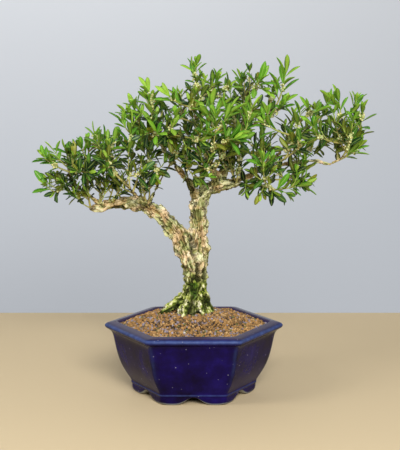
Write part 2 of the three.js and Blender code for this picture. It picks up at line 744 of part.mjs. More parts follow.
const oldGuards = sprays.flatMap(({ shoots }) =>
  shoots.map(({ frames, form }) => shootSolid(frames, [], form, { swell: CLEARANCE })),
);
const stemGuard = fuse([woodGuard, ...oldGuards]);
for (const { name, shoots } of sprays) {
  addPiece(name, fused(shoots, woodGuard), materialOf('#3c5f24', 0.45));
}
for (const { name, shoots } of newShoots) {
  addPiece(name, fused(shoots, stemGuard), materialOf('#86ad35', 0.4));
}

export default bonsai;
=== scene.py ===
from functools import partial
from math import atan2, cos, degrees, exp, hypot, pi, radians, sin, sqrt, tan

import bmesh
import bpy
import numpy as np
from mathutils import Matrix, Vector, noise
from mathutils.bvhtree import BVHTree


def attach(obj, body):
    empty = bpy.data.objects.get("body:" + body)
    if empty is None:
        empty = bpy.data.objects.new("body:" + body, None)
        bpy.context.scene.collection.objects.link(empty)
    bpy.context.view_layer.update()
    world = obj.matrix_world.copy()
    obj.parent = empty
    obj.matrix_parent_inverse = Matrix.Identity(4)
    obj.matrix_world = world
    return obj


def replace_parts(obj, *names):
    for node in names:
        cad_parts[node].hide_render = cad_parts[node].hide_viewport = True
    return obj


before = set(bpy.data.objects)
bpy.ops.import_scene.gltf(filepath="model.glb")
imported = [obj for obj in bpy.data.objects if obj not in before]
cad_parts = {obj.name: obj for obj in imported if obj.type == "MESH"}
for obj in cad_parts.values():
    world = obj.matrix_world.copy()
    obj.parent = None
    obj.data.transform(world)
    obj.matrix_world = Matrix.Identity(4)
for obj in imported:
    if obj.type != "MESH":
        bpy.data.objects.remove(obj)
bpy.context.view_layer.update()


# The pot: a hexagon of stoneware, pressed in a mould, with a rolled rim, a belly that draws in to a
# ridge, and six cloud-shaped feet under its corners. It is dipped in cobalt-blue glaze, which runs
# thin and bright over every edge; painted highlights add to the corner lines and ridge and make the
# bright band along the lip, and a painted reflection greys the flat rim.
POT_CENTRE = (-9, -6)
MILLIMETRE = 0.001
SIDE_SHARE = cos(radians(30))  # from a hexagon's middle to its side, against the way to a corner
CORNER_ROUND = 2.4
RIDGE_HEIGHT, LIP_HEIGHT = 11.5, 76.1
FOOT_HEIGHT, ARCH_HEIGHT = 10, 8.7
FLOOR_REACH = 45  # the pot's flat floor, inside the ring of feet
GLAZE_EDGE = 4  # how far from a corner line the glaze runs thin

# Corner radius and height: up the outside, over the rim, down the inside, through the drain hole
# and out under the floor to the feet
POT_SECTION = [
    (66.2, 0), (68.2, 0.7), (69.3, 2.4), (69.8, 6), (69.8, 9.4), (70.6, 10.2), (71.1, 11.4), (70.6, 12.6),
    (71.6, 14.8), (76.3, 21.6), (80.2, 28), (83.2, 34.4), (85.8, 42), (87.8, 50), (89.4, 58), (90.6, 64),
    (91.6, 67), (93.4, 69.6), (96.4, 71.6), (98.9, 72.8), (100, 74.2), (100.2, 75.7), (99.4, 77.1),
    (97, 78.3), (92, 79.2), (88, 79.9), (86.2, 79.9), (85.2, 79), (84.4, 77), (82.2, 66), (79.7, 52),
    (75.2, 36), (67.2, 23), (58.2, 17), (30, 17), (11.8, 17), (11, 16.2), (11, 10.8), (11.8, 10),
    (30, 10), (53, 10), (57.4, 9.2), (57, 5), (57.3, 1), (58.4, 0),
]
DRAIN_RINGS = range(35, 39)  # these rings are round


def linear(code):
    """The linear colour of an sRGB hex value."""
    parts = [int(code[i : i + 2], 16) / 255 for i in (1, 3, 5)]
    return [p / 12.92 if p <= 0.04045 else ((p + 0.055) / 1.055) ** 2.4 for p in parts] + [1.0]


def add_node(material, kind, inputs=(), stops=(), **settings):
    """Adds a node with its settings. Its inputs go by name, or are listed in the order of its sockets:
    a texture's place, scale, detail and roughness; a range's value, lowest, highest and what these
    become; a mix's share and two colours. Each is a value, a colour's hex value, or what to link to."""
    made = material.node_tree.nodes.new("ShaderNode" + kind)
    for name, value in settings.items():
        setattr(made, name, value)
    if not isinstance(inputs, dict):
        inputs = dict(zip([i for i, socket in enumerate(made.inputs) if socket.enabled], inputs))
    for key, value in inputs.items():
        if isinstance(value, bpy.types.Node):
            value = next(output for output in value.outputs if output.enabled)
        if isinstance(value, bpy.types.NodeSocket):
            material.node_tree.links.new(value, made.inputs[key])
        else:
            made.inputs[key].default_value = linear(value) if isinstance(value, str) else value
    for i, (position, colour) in enumerate(stops):
        ramp = made.color_ramp.elements
        stop = ramp[i] if i < 2 else ramp.new(position)
        stop.position, stop.color = position, linear(colour)
    return made


def new_material(name):
    """An empty material, and the function that adds a node to it."""
    material = bpy.data.materials.new(name)
    material.use_nodes = True
    material.node_tree.nodes.clear()
    return material, partial(add_node, material)


def finished(name, mesh):
    """The mesh data of a bmesh that is done with."""
    data = bpy.data.meshes.new(name)
    mesh.to_mesh(data)
    mesh.free()
    return data


def add_object(name, data):
    made = bpy.data.objects.new(name, data)
    bpy.context.scene.collection.objects.link(made)
    return made


def place_piece(name, mesh, material, slot):
    """A piece from its bmesh, which is in millimetres about the pot's centre."""
    bmesh.ops.translate(mesh, verts=mesh.verts, vec=(*POT_CENTRE, 0))
    bmesh.ops.scale(mesh, verts=mesh.verts, vec=(MILLIMETRE,) * 3)
    piece = add_object(name, finished(name, mesh))
    piece.data.materials.append(material)
    piece.data.shade_smooth()
    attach(piece, "root")
    return piece


def smooth_step(low, high, value):
    share = min(1, max(0, (value - low) / (high - low)))
    return share * share * (3 - 2 * share)


def extrude_loop(mesh, edges):
    """Grows a loop of edges where it is: the new points, and the edges between them."""
    grown = bmesh.ops.extrude_edge_only(mesh, edges=edges)["geom"]
    points = [item for item in grown if isinstance(item, bmesh.types.BMVert)]
    held = set(points)
    return points, [
        item for item in grown if isinstance(item, bmesh.types.BMEdge) and held.issuperset(item.verts)
    ]


def from_side_middle(point):
    """The angle between a point and the middle of the hexagon's side that it belongs to."""
    return radians((degrees(atan2(point.y, point.x)) % 60) - 30)


pot = bmesh.new()
bmesh.ops.create_circle(pot, cap_ends=True, segments=6, radius=POT_SECTION[0][0])
corner = pot.verts[:][0].co
turn = Matrix.Rotation(-atan2(corner.y, corner.x), 3, "Z")
bmesh.ops.rotate(pot, verts=pot.verts, cent=(0, 0, 0), matrix=turn)
bmesh.ops.bevel(
    pot, geom=pot.verts[:], offset=CORNER_ROUND, offset_type="OFFSET", segments=4, profile=0.5,
    affect="VERTICES", material=-1,
)
bmesh.ops.delete(pot, geom=pot.faces[:], context="FACES_ONLY")
sides = [edge for edge in pot.edges if edge.calc_length() > 20]
bmesh.ops.subdivide_edges(pot, edges=sides, cuts=21)
first_ring = ring = pot.edges[:]
for i, ((radius, height), (next_radius, next_height)) in enumerate(zip(POT_SECTION, POT_SECTION[1:]), 1):
    points, ring = extrude_loop(pot, ring)
    bmesh.ops.scale(pot, verts=points, vec=(next_radius / radius, next_radius / radius, 1))
    bmesh.ops.translate(pot, verts=points, vec=(0, 0, next_height - height))
    for point in points:
        if i in DRAIN_RINGS:
            point.co.xy = point.co.xy.normalized() * next_radius
        elif i == DRAIN_RINGS.stop:
            flat = next_radius * SIDE_SHARE / cos(from_side_middle(point.co))
            point.co.xy = point.co.xy.normalized() * flat
bmesh.ops.bridge_loops(pot, edges=first_ring + ring)
bmesh.ops.recalc_face_normals(pot, faces=pot.faces)
# Red: bright glaze bands at the corner lines, ridge, lip and hem, partly painted highlight; green: the hem;
# blue: a painted reflection over the flat rim
glaze_bands_and_painted_light = pot.verts.layers.float_color.new("glaze_bands_and_painted_light")
for point in pot.verts:
    x, y, z = point.co
    radius, bearing = hypot(x, y), from_side_middle(point.co)
    along, apothem = radius * sin(bearing), radius * cos(bearing)
    # Corner lines and ridge: thin glaze over the edge plus a painted highlight, brighter higher up the
    # corners
    edge = smooth_step(GLAZE_EDGE, 0, apothem * tan(radians(30)) - abs(along)) if z < 70 else 0
    # The band along the lip's roll is a painted highlight, where the glaze also runs thin
    painted_lip_highlight = smooth_step(2.5, 0.8, abs(z - LIP_HEIGHT)) * smooth_step(95, 97.5, apothem / SIDE_SHARE)
    ridge_glaze_and_highlight = smooth_step(0.9, 0.2, abs(z - RIDGE_HEIGHT))
    hem = smooth_step(2.2, 0.4, z)
    # The flat rim gets a painted reflection of the studio in grey-violet
    painted_rim_reflection = smooth_step(78.0, 79.1, z)
    point[glaze_bands_and_painted_light] = (max(0.26 * edge * smooth_step(8, 50, z), painted_lip_highlight, 0.6 * ridge_glaze_and_highlight, hem), hem, painted_rim_reflection, 1)
    # The arches between the feet, which are a little rounded under the pot's corners
    if z < FOOT_HEIGHT and radius > FLOOR_REACH:
        arch = ARCH_HEIGHT * (1 - smooth_step(3.5, 20, abs(along)) ** 0.5)
        arch += 1.2 * smooth_step(27, 34, abs(along))
        point.co.z = arch + z * (FOOT_HEIGHT - arch) / FOOT_HEIGHT

glaze, add = new_material("cobalt_glaze_fired")
# Fired glaze is glass: smooth, deep where it lies thick, bright blue where it runs thin over an edge,
# with pinholes and lime specks from years of watering. The corner lines and ridge are partly painted
# highlight, the band along the lip is a painted highlight, and the flat rim carries a painted
# reflection in grey-violet. Its shine is set low, for the even light of a studio would veil the blue.
# A pattern's scale is one over its size in metres.
place = add("TexCoord").outputs["Object"]
cloud = add("TexNoise", [place, 1 / 0.028, 4, 0.6])
depth = add("ValToRGB", [cloud], [(0.3, "#0e071b"), (0.52, "#130a3a"), (0.74, "#1b1156")])
glaze_bands_and_painted_light = add("Attribute", attribute_name="glaze_bands_and_painted_light")
edge, hem, painted_rim_reflection = add("SeparateColor", [glaze_bands_and_painted_light]).outputs
streak = add("TexNoise", [place, 1 / 0.006, 3])
streaked = add("MapRange", [streak, 0.3, 0.7, 0.45, 1])
# Painted highlight, with thin glaze: the bright blue of the corner lines, ridge and lip
edge_glaze_and_highlight_share = add("Math", [edge, streaked], operation="MULTIPLY")
# Painted reflection on the flat rim
rim_reflection_share = add("Math", [painted_rim_reflection, 0.8], operation="MULTIPLY")
rim_reflected = add("Mix", [rim_reflection_share, depth, "#41394b"], data_type="RGBA")
edges_glazed_and_highlit = add("Mix", [edge_glaze_and_highlight_share, rim_reflected, "#3c4c7a"], data_type="RGBA")
hem_share = add("Math", [hem, 0.75], operation="MULTIPLY")
hemmed = add("Mix", [hem_share, edges_glazed_and_highlit, "#a3a493"], data_type="RGBA")
specks = add("TexVoronoi", [place, 1 / 0.006])
speck = add("MapRange", [specks, 0.11, 0.06])
few = add("TexNoise", [place, 1 / 0.014])
where = add("MapRange", [few, 0.5, 0.68, 0, 0.7])
speck_share = add("Math", [speck, where], operation="MULTIPLY")
specked = add("Mix", [speck_share, hemmed, "#b9b6c0"], data_type="RGBA")
wear = add("MapRange", [cloud, 0.25, 0.75, 0.14, 0.26])
ripple = add("TexNoise", [place, 1 / 0.009])
skin = add("Bump", {"Height": ripple, "Strength": 0.12, "Distance": MILLIMETRE})
shader = add(
    "BsdfPrincipled",
    {"Base Color": specked, "Roughness": wear, "IOR": 1.5, "Specular IOR Level": 0.06, "Normal": skin},
)
add("OutputMaterial", [shader])

pot_piece = place_piece("glazed_pot", pot, glaze, "blue_glaze")
rounding = pot_piece.modifiers.new("rounding", "SUBSURF")
rounding.levels = rounding.render_levels = 1
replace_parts(pot_piece, "pot")


# The drain mesh: a square of black plastic net, cut from a sheet with scissors and laid over the
# drain hole before the soil goes in.
def coat(node, material):
    """Gives a CAD node that is kept its material."""
    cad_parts[node].data.materials.clear()
    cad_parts[node].data.materials.append(material)


net_plastic, add = new_material("polyethylene_moulded_black")
# Moulded net is a soft, dull black, browned by the dust of the soil.
place = add("TexCoord").outputs["Object"]
grime = add("TexNoise", [place, 1 / 0.004, 3])
dusty = add("ValToRGB", [grime], [(0.35, "#141516"), (0.8, "#3a352c")])
shader = add("BsdfPrincipled", {"Base Color": dusty, "Roughness": 0.6, "IOR": 1.51})
add("OutputMaterial", [shader])
coat("drain_mesh", net_plastic)


# The wood: roots, two fused stems and every bare branch, grown as one piece. Its bark is thick cork
# that splits into long flakes, cream where they have fallen, olive with algae, mossy at the foot.
# Each line holds [x, y, z, radius] from its root to its end.
STEMS = [
    [[-7, 10, 66, 13], [-6, 9, 86, 12.5], [-4, 8, 104, 10.8], [-1, 8, 130, 9.6], [-6, 9, 148, 12],
     [-13, 10, 166, 11.5], [-24, 12, 184, 10], [-38, 13, 198, 8.8], [-54, 13, 207, 7.4],
     [-70, 11, 210, 5.6], [-86, 8, 209, 4.8], [-102, 4, 208, 4.2], [-114, 1, 206, 2.8]],
    [[9, 17, 66, 12], [9, 17, 88, 11], [7, 18, 108, 10], [5, 15, 130, 9.8], [7, 14, 150, 10.6],
     [6, 13, 168, 9.8], [6, 13, 188, 9.6], [5, 13, 206, 10.4], [11, 13, 219, 10.4],
     [23, 12, 228, 8.8], [37, 11, 232, 7], [50, 9, 236, 5]],
]
ROOTS = [
    [[-8, 12, 106, 7], [-19, 13, 97, 6.5], [-32, 14, 89, 5], [-46, 14, 82, 3.8], [-58, 16, 73, 2.6]],
    [[10, 16, 104, 6], [18, 15, 93, 5.5], [26, 14, 84, 4.4], [36, 14, 75, 3]],
    [[-4, 6, 100, 7], [-9, -4, 90, 5.8], [-15, -14, 82, 4], [-22, -24, 73, 2.8]],
    [[8, 12, 98, 6], [12, 2, 88, 5], [17, -7, 80, 3.8], [22, -14, 73, 2.6]],
    [[-2, 16, 100, 7], [-10, 27, 90, 5.4], [-18, 37, 81, 4], [-26, 45, 73, 2.8]],
    [[8, 20, 98, 6], [14, 30, 89, 5], [20, 38, 80, 3.8], [27, 45, 73, 2.6]],
]
BRANCHES = [
    [[44, 10, 234, 5], [62, 6, 242, 3.9], [80, 4, 250, 3.4], [98, 2, 255, 3.1], [114, 0, 257, 2.9],
     [132, -2, 259, 2.6], [148, -4, 255, 2.2], [160, -6, 262, 1.9], [168, -8, 270, 1.5]],
    [[22, 12, 226, 7], [33, 20, 246, 6], [46, 27, 270, 5.3], [55, 30, 296, 4.8], [61, 30, 316, 3.6],
     [58, 25, 336, 1.8]],
    [[4, 14, 212, 7], [-7, 6, 236, 4.6], [-20, -2, 254, 3.8], [-36, -8, 277, 3], [-46, -10, 296, 1.8]],
    [[8, 16, 212, 6], [10, 38, 232, 4], [6, 60, 252, 3.2], [0, 76, 270, 1.8]],
    [[22, 8, 228, 5.5], [24, -10, 240, 3.8], [20, -30, 254, 3], [18, -46, 270, 1.8]],
    [[28, 14, 236, 4.6], [18, 10, 256, 3.6], [8, 6, 278, 3], [2, 2, 300, 2.4], [1, -2, 322, 1.6]],
    [[46, 27, 272, 3.6], [48, 48, 286, 2.6], [48, 66, 298, 1.6]],
    [[50, 28, 282, 4], [66, 24, 296, 2.8], [82, 17, 308, 2.2], [92, 12, 320, 1.5]],
    [[80, 4, 250, 3], [88, -14, 257, 2.4], [100, -30, 264, 1.6]],
    [[66, 6, 243, 3.4], [80, 26, 254, 2.6], [98, 42, 264, 1.7]],
    [[40, 8, 230, 4], [60, -8, 236, 2.5], [78, -18, 240, 2], [90, -24, 246, 1.4]],
    [[-44, 12, 202, 4], [-54, -8, 214, 2.8], [-66, -26, 228, 2.3], [-76, -36, 242, 1.6]],
    [[-62, 12, 208, 3.8], [-70, 32, 222, 2.7], [-82, 48, 236, 1.7]],
    [[-100, 4, 208, 3.6], [-116, 2, 221, 3], [-131, 0, 234, 2.2], [-138, -2, 246, 1.5]],
    [[-52, 13, 208, 3.6], [-38, 8, 232, 2.2], [-30, 4, 250, 1.5]],
]
BARK_VOXEL = 0.85
PLATE_WIDTH = 7.4
PLATE_STRETCH = 0.4  # a plate's width against its length
PLATE_RELIEF = 1.9
FLAKE_WIDTH = 2.5  # of the flakes on a plate
FLAKE_RELIEF = 1.1
CRACK_DEPTH = 1.7
FIBRE_RELIEF = 0.3
STRAND_RELIEF = 0.7  # the raised strands that run up the stems
THINNEST_CORK, THICKEST_CORK = 0.25, 1.1  # as a share of the reliefs above
ACROSS = Vector((0.31, -0.9, 0.3))  # crosses almost every stem
# Burls, and the hollow between the roots: place, reach and push
BURLS = [
    ((-15, 7, 154), 8, 2.8), ((-26, 10, 166), 10, -4), ((18, 12, 160), 9, 3), ((19, 12, 148), 8, -3.6),
    ((18, 14, 124), 9, -2), ((-14, 12, 222), 10, -2), ((-4, 8, 228), 10, -3), ((-9, 5, 239), 9, -1.6),
    ((9, 28, 224), 12, -2.4), ((-30, 12, 206), 12, 1.2), ((-62, 12, 216), 17, 4), ((-70, 12, 203), 14, 2),
    ((-63, 11, 199), 9, 3), ((-13, 8, 132), 10, 1.6), ((-44, 12, 186), 12, 1), ((-5, 10, 209), 7, 2.5),
    ((-40, 10, 214), 12, 1), ((28, 12, 238), 12, 3), ((-80, 9, 210), 15, 3), ((-93, 6, 209), 14, 2.8),
    ((-104, 4, 208), 10, 1.8), ((-5, 10, 177), 9, 4), ((-2, 4, 164), 6, -4), ((-1, 2, 157), 5, -4),
    ((0, -1, 123), 7, -4), ((0, -2, 113), 8, -4.5), ((0, -4, 102), 9, -5.5), ((-34, 8, 88), 10, 2.5),
    ((20, 15, 111), 9, -2.2), ((22, 14, 138), 9, -3), ((140, -3, 257), 12, -0.6),
    ((154, -5, 259), 12, -0.6), ((165, -7, 267), 9, -0.4),
]
# Where the outer cork has come away and left smooth, rosy wood: place and reach
BARE_SPOTS = [
    ((7, 3, 171), 11), ((9, 4, 184), 7), ((-16, 1, 173), 11), ((-33, 5, 197), 8), ((-46, 5, 205), 8),
    ((-11, -1, 149), 6), ((10, 3, 140), 6),
]
# Deep folds painted near black as shade: between the stems, between the roots in front, and at the
# top of the right stem
SHADED_FOLDS = [
    ((-3, 4, 173), 7), ((-2, 3, 165), 7), ((-1, 1, 157), 7), ((-6, 0, 149), 5), ((-1, 0, 126), 6),
    ((-1, -1, 105), 8), ((-1, -2, 98), 10), ((-1, -4, 90), 10), ((-1, 4, 226), 6),
]


def smooth_line(points, per_span):
    """Places and radii along a smooth curve through the points."""
    places = [Vector(point[:3]) for point in points]
    before = 2 * places[0] - places[1]
    after = 2 * places[-1] - places[-2]
    padded = [before, *places, after]
    line = []
    spans = len(points) - 1
    for i in range(spans * per_span + 1):
        span = min(i // per_span, spans - 1)
        share = i / per_span - span
        a, b, c, d = padded[span : span + 4]
        leave, arrive = (c - a) / 2, (d - b) / 2
        at = b + share * leave + share**2 * (3 * (c - b) - 2 * leave - arrive)
        at += share**3 * (2 * (b - c) + leave + arrive)
        line.append((at, points[span][3] * (1 - share) + points[span + 1][3] * share))
    return line


wood_lines = [smooth_line(points, 2) for points in STEMS]
wood_lines += [smooth_line(points, 1) for points in [*ROOTS, *BRANCHES]]


def solid_of(node):
    """A CAD node's solid, in millimetres about the pot's centre."""
    solid = bmesh.new()
    solid.from_mesh(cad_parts[node].data)
    bmesh.ops.scale(solid, verts=solid.verts, vec=(1 / MILLIMETRE,) * 3)
    bmesh.ops.translate(solid, verts=solid.verts, vec=(-POT_CENTRE[0], -POT_CENTRE[1], 0))
    return solid


# The CAD solid's form, with a finer skin
core = solid_of("trunk")
bmesh.ops.remove_doubles(core, verts=core.verts, dist=0.01)
core_piece = add_object("wood_core", finished("wood_core", core))
skinned = core_piece.modifiers.new("skin", "REMESH")
skinned.mode = "VOXEL"
skinned.voxel_size = BARK_VOXEL
softened = core_piece.modifiers.new("soften", "SMOOTH")
softened.factor = 0.5
softened.iterations = 4
bpy.context.view_layer.update()
bark = bmesh.new()
bark.from_mesh(core_piece.evaluated_get(bpy.context.evaluated_depsgraph_get()).to_mesh())
bpy.data.objects.remove(core_piece)
bark.normal_update()

# Where each point of the bark lies along its stem, and round it
starts, ends, radii, lengths, frames_across = [], [], [], [], []
for line in wood_lines:
    travelled = 0.0
    across = ACROSS
    for (a, radius), (b, _) in zip(line, line[1:]):
        along = (b - a).normalized()
        across = (across - along * across.dot(along)).normalized()
        starts.append(a)
        ends.append(b)
        radii.append(radius)
        lengths.append(travelled)
        frames_across.append((across.copy(), along.cross(across)))
        travelled += (b - a).length
start_array = np.array(starts)
reach_array = np.array(ends) - start_array
reach_squared = (reach_array**2).sum(1)
# Unless it is seeded, the noise starts from the clock, and each run would grow another bark
noise.seed_set(7)
swirled = np.array([point.co for point in bark.verts])
swirled += [4 * noise.noise_vector(point.co / 7) for point in bark.verts]
nearest, share_along = [], []
for chunk in np.array_split(swirled, len(swirled) // 4000 + 1):
    offset = chunk[:, None] - start_array
    share = np.clip((offset * reach_array).sum(2) / reach_squared, 0, 1)
    gap = np.linalg.norm(offset - share[:, :, None] * reach_array, axis=2) / np.array(radii) ** 0.7
    best = gap.argmin(1)
    nearest.extend(best)
    share_along.extend(share[np.arange(len(chunk)), best])

cork_mark = bark.verts.layers.float_color.new("cork")
bare_mark = bark.verts.layers.float.new("bared")
grain_mark = bark.verts.layers.float_vector.new("grain")
shifts = []
for point, segment, share in zip(bark.verts, nearest, share_along):
    travelled = lengths[segment] + share * sqrt(reach_squared[segment])
    offset = point.co - starts[segment].lerp(ends[segment], share)
    side, beside = frames_across[segment]
    flat = Vector((offset.dot(side), offset.dot(beside), travelled * PLATE_STRETCH))
    bent = flat + 2.6 * noise.noise_vector(flat / 5.2) + 0.9 * noise.noise_vector(flat / 1.7)
    distances, cells = noise.voronoi(bent / PLATE_WIDTH)
    plate = noise.cell(cells[0] * 31.7)
    open_crack = smooth_step(-0.35, 0.25, noise.noise(flat / 6 + Vector((9, 4, 2))))
    crack = (1 - smooth_step(0.02, 0.16 + 0.2 * plate, distances[1] - distances[0])) * open_crack
    lifted = max(-0.5, min(0.5, bent.z / PLATE_WIDTH - cells[0].z))
    distances, cells = noise.voronoi(bent / FLAKE_WIDTH)
    flake = noise.cell(cells[0] * 17.3)
    seam = 1 - smooth_step(0.02, 0.3, distances[1] - distances[0])
    fibre = noise.noise(Vector((flat.x, flat.y, 0.25 * flat.z)) / 0.9)
    strand = max(0, 1 - 5 * abs(noise.noise(Vector((flat.x, flat.y, 0.3 * flat.z)) / 4.6)))
    lump = 1.5 * noise.noise(point.co / 13) + 1.3 * noise.noise(point.co / 4.5)
    thickness = min(THICKEST_CORK, THINNEST_CORK + radii[segment] / 8.5)
    rise = PLATE_RELIEF * (plate - 0.45 + 0.7 * lifted) - CRACK_DEPTH * crack
    rise += FLAKE_RELIEF * (flake - 0.5 - 0.5 * seam) + FIBRE_RELIEF * fibre + STRAND_RELIEF * strand
    shift = thickness * (rise + lump)
    for place, reach, push in BURLS:
        shift += push * smooth_step(reach, 0, (point.co - Vector(place)).length)
    shifts.append(shift)
    # Painted shade: the deep folds are coloured near black, added to the cracks
    fold = 0.0
    for place, reach in SHADED_FOLDS:
        away = point.co - Vector(place)
        away.x *= 1.7  # a fold is narrow
        fold = max(fold, smooth_step(reach, 0.4 * reach, away.length))
    bared = 0.0
    for place, reach in BARE_SPOTS:
        away = point.co - Vector(place)
        away.z *= 0.6  # and a bare patch long
        near = smooth_step(reach, 0.4 * reach, away.length)
        bared = max(bared, near * smooth_step(-0.3, 0.15, noise.noise(flat / 4)))
    # Up to 0.8 this is moss, and above that the vivid stripe in the damp hollow in front
    height = point.co.z + 11 * noise.noise(point.co / 9) + 6 * noise.noise(point.co / 3.5)
    wet = smooth_step(9, 5, abs(point.co.x - 3 + 4 * noise.noise(point.co / 8)))
    wet *= smooth_step(8, 0, point.co.y)
    wet *= smooth_step(134, 126, point.co.z) * smooth_step(98, 106, point.co.z)
    moss = 0.8 * smooth_step(142, 118, height) + 0.2 * wet
    patch = noise.noise(point.co / 12 + Vector((5, 0, 3)))
    tone = 0.28 * plate + 0.2 * flake + 0.18 * (0.5 + lifted) + 0.1 * fibre + 0.24 * strand + 0.3 * patch
    point[cork_mark] = (min(1, crack + 0.2 * seam + fold), tone, moss, smooth_step(8.5, 4, radii[segment]))
    point[bare_mark] = bared
    point[grain_mark] = flat * MILLIMETRE
for point, shift in zip(bark.verts, shifts):
    point.co += point.normal * shift
    # The front roots and the ends of the side ones dip under the soil
    dip = 4 * smooth_step(0, -12, point.co.y) + 4 * smooth_step(-32, -46, point.co.x)
    dip += 5 * smooth_step(16, 28, point.co.x)
    point.co.z -= dip * smooth_step(104, 88, point.co.z)
bmesh.ops.smooth_vert(bark, verts=bark.verts, factor=0.06, use_axis_x=True, use_axis_y=True, use_axis_z=True)

cork, add = new_material("boxwood_bark_corky")
# Dead cork scatters light with no gloss: cream and tan on its flakes, near black in its cracks, smooth
# and rosy where it is bare; the deep folds get painted shade, near black. The textures run along each
# stem, so that flakes and fibres do too.
place = add("TexCoord").outputs["Object"]
grain = add("Attribute", attribute_name="grain").outputs["Vector"]
marks = add("Attribute", attribute_name="cork")
cracks_and_fold_shade, own_tone, moss = add("SeparateColor", [marks]).outputs
fibre = add("TexNoise", [grain, 1 / 0.0019, 5, 0.75])
sway = add("TexNoise", [grain, 1 / 0.003])
sideways = sway.outputs["Color"]
swayed = add("VectorMath", [sideways, (0.003, 0.003, 0.003), grain], operation="MULTIPLY_ADD")
flake = add("TexVoronoi", [swayed, 1 / 0.0026]).outputs["Color"]
seam = add("TexVoronoi", [swayed, 1 / 0.0026], feature="DISTANCE_TO_EDGE")
seam_line = add("MapRange", [seam, 0.02, 0.14, 1, 0])
seam_here = add("MapRange", [sway, 0.42, 0.58])
seamed = add("Math", [seam_line, seam_here], operation="MULTIPLY")
flake_own = add("SeparateColor", [flake]).outputs["Red"]
flake_tone = add("Math", [flake_own, 0.3, own_tone], operation="MULTIPLY_ADD")
fibre_tone = add("Math", [fibre, 0.9, flake_tone], operation="MULTIPLY_ADD")
tone = add("MapRange", [fibre_tone, 0.5, 1.28])
plates = add(
    "ValToRGB", [tone],
    [(0, "#82733f"), (0.2, "#ac9c67"), (0.4, "#c6b585"), (0.6, "#d5c199"), (0.8, "#decaa5"), (1, "#e3d1b1")],
)
bare_wood = add("ValToRGB", [tone], [(0, "#9a8155"), (0.45, "#cbad83"), (1, "#e2cbab")])
bare = add("Attribute", attribute_name="bared").outputs["Fac"]
scraped = add("Mix", [bare, plates, bare_wood], data_type="RGBA")
tan_share = add("Math", [marks.outputs["Alpha"], 0.36], operation="MULTIPLY")
tanned = add("Mix", [tan_share, scraped, "#c19a68"], data_type="RGBA")
lichen = add(
    "ValToRGB", [tone],
    [(0, "#5d6234"), (0.22, "#8b9255"), (0.42, "#a7ac74"), (0.62, "#b8ba86"), (0.8, "#c8c89a"),
     (1, "#d6d5ab")],
)
patches = add("TexNoise", [place, 1 / 0.011, 4, 0.6])
lichen_share = add("MapRange", [patches, 0.43, 0.52, 0, 0.92])
off_bare = add("Math", [lichen_share, bare], operation="SUBTRACT", use_clamp=True)
algae = add("Mix", [off_bare, tanned, lichen], data_type="RGBA")
mottle = add("TexNoise", [place, 1 / 0.0042])
mottled = add("MapRange", [mottle, 0.25, 0.75, -0.4, 0.4])
moss_tone = add("Math", [tone, mottled])
mosses = add(
    "ValToRGB", [moss_tone],
    [(0, "#2c3413"), (0.22, "#535d26"), (0.4, "#7f893a"), (0.58, "#abb067"), (0.78, "#ddd8ac"),
     (1, "#f2edd0")],
)
tuft = add("TexNoise", [place, 1 / 0.008, 3])
tuft_share = add("MapRange", [tuft, 0.46, 0.6])
tufted = add("Mix", [tuft_share, mosses, "#cfdc92"], data_type="RGBA", blend_type="MULTIPLY")
moss_share = add("MapRange", [moss, 0, 0.8])
mossy = add("Mix", [moss_share, algae, tufted], data_type="RGBA")
wet_moss = add("ValToRGB", [tone], [(0, "#1a260c"), (0.5, "#4a6a1c"), (1, "#a3b254")])
wet_share = add("MapRange", [moss, 0.82, 0.98, 0, 0.9])
wetted = add("Mix", [wet_share, mossy, wet_moss], data_type="RGBA")
lined = add("Mix", [seamed, wetted, "#8c8250"], data_type="RGBA", blend_type="MULTIPLY")
# The cracks are dark in themselves; the deep folds in the same mark are painted shade
crack_and_fold_shade_share = add("MapRange", [cracks_and_fold_shade, 0.3, 1, 0, 0.82])
cracked_and_fold_shaded = add("Mix", [crack_and_fold_shade_share, lined, "#2b2a14"], data_type="RGBA")
relief = add("Math", [flake_own, 0.6, fibre], operation="MULTIPLY_ADD")
sunken = add("Math", [seamed, -0.5, relief], operation="MULTIPLY_ADD")
rough_skin = add("Bump", {"Height": sunken, "Strength": 1, "Distance": 0.0012})
shader = add(
    "BsdfPrincipled",
    {"Base Color": cracked_and_fold_shaded, "Roughness": 0.92, "IOR": 1.4, "Specular IOR Level": 0.2, "Normal": rough_skin},
)
add("OutputMaterial", [shader])

bark_tree = BVHTree.FromBMesh(bark)
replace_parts(place_piece("corky_wood", bark, cork, "bark"), "trunk")


# The soil: fired-clay and gravel grains of two to four millimetres, sieved and poured in round the
# roots. A packed bed carries one loose layer of grains, each its own shape and colour.
GRAIN_STEP = 2.65
ROW_SHARE = 0.866  # rows lie this much closer than the grains in a row
SOIL_WIDTH, SOIL_DEPTH, SOIL_CORNER = 176, 150, 84.6
LOWEST_GRAIN = 60
ROOT_COVER = 2.2  # wood that stands out of the soil by more than this carries no grains
MISSING_GRAINS = 0.06
WALL_TURNS = [radians(60 * k + 60) for k in range(3)]
DOWN = Vector((0, 0, -1))
GRAIN_COLOURS = [
    ("#8b642d", 0.27), ("#9c733e", 0.21), ("#6b4d20", 0.17), ("#ae8a58", 0.11), ("#756b76", 0.10),
    ("#8b838e", 0.03), ("#cfc8bc", 0.003), ("#3e2c1a", 0.08), ("#4d5626", 0.014),
]


def draws_from(seed):
    """Repeatable draws between 0 and 1."""
    state = seed

    def draw():
        nonlocal state
        state = (state * 1664525 + 1013904223) % 4294967296
        return state / 4294967296

    for _ in range(3):
        draw()
    return draw


def joined(parts):
    """One bmesh of several, which are grown apart because an operator slows down as its mesh grows."""
    whole = bmesh.new()
    for part in parts:
        data = finished("part", part)
        whole.from_mesh(data)
        bpy.data.meshes.remove(data)
    return whole


packed_grit, add = new_material("clay_grit_packed")
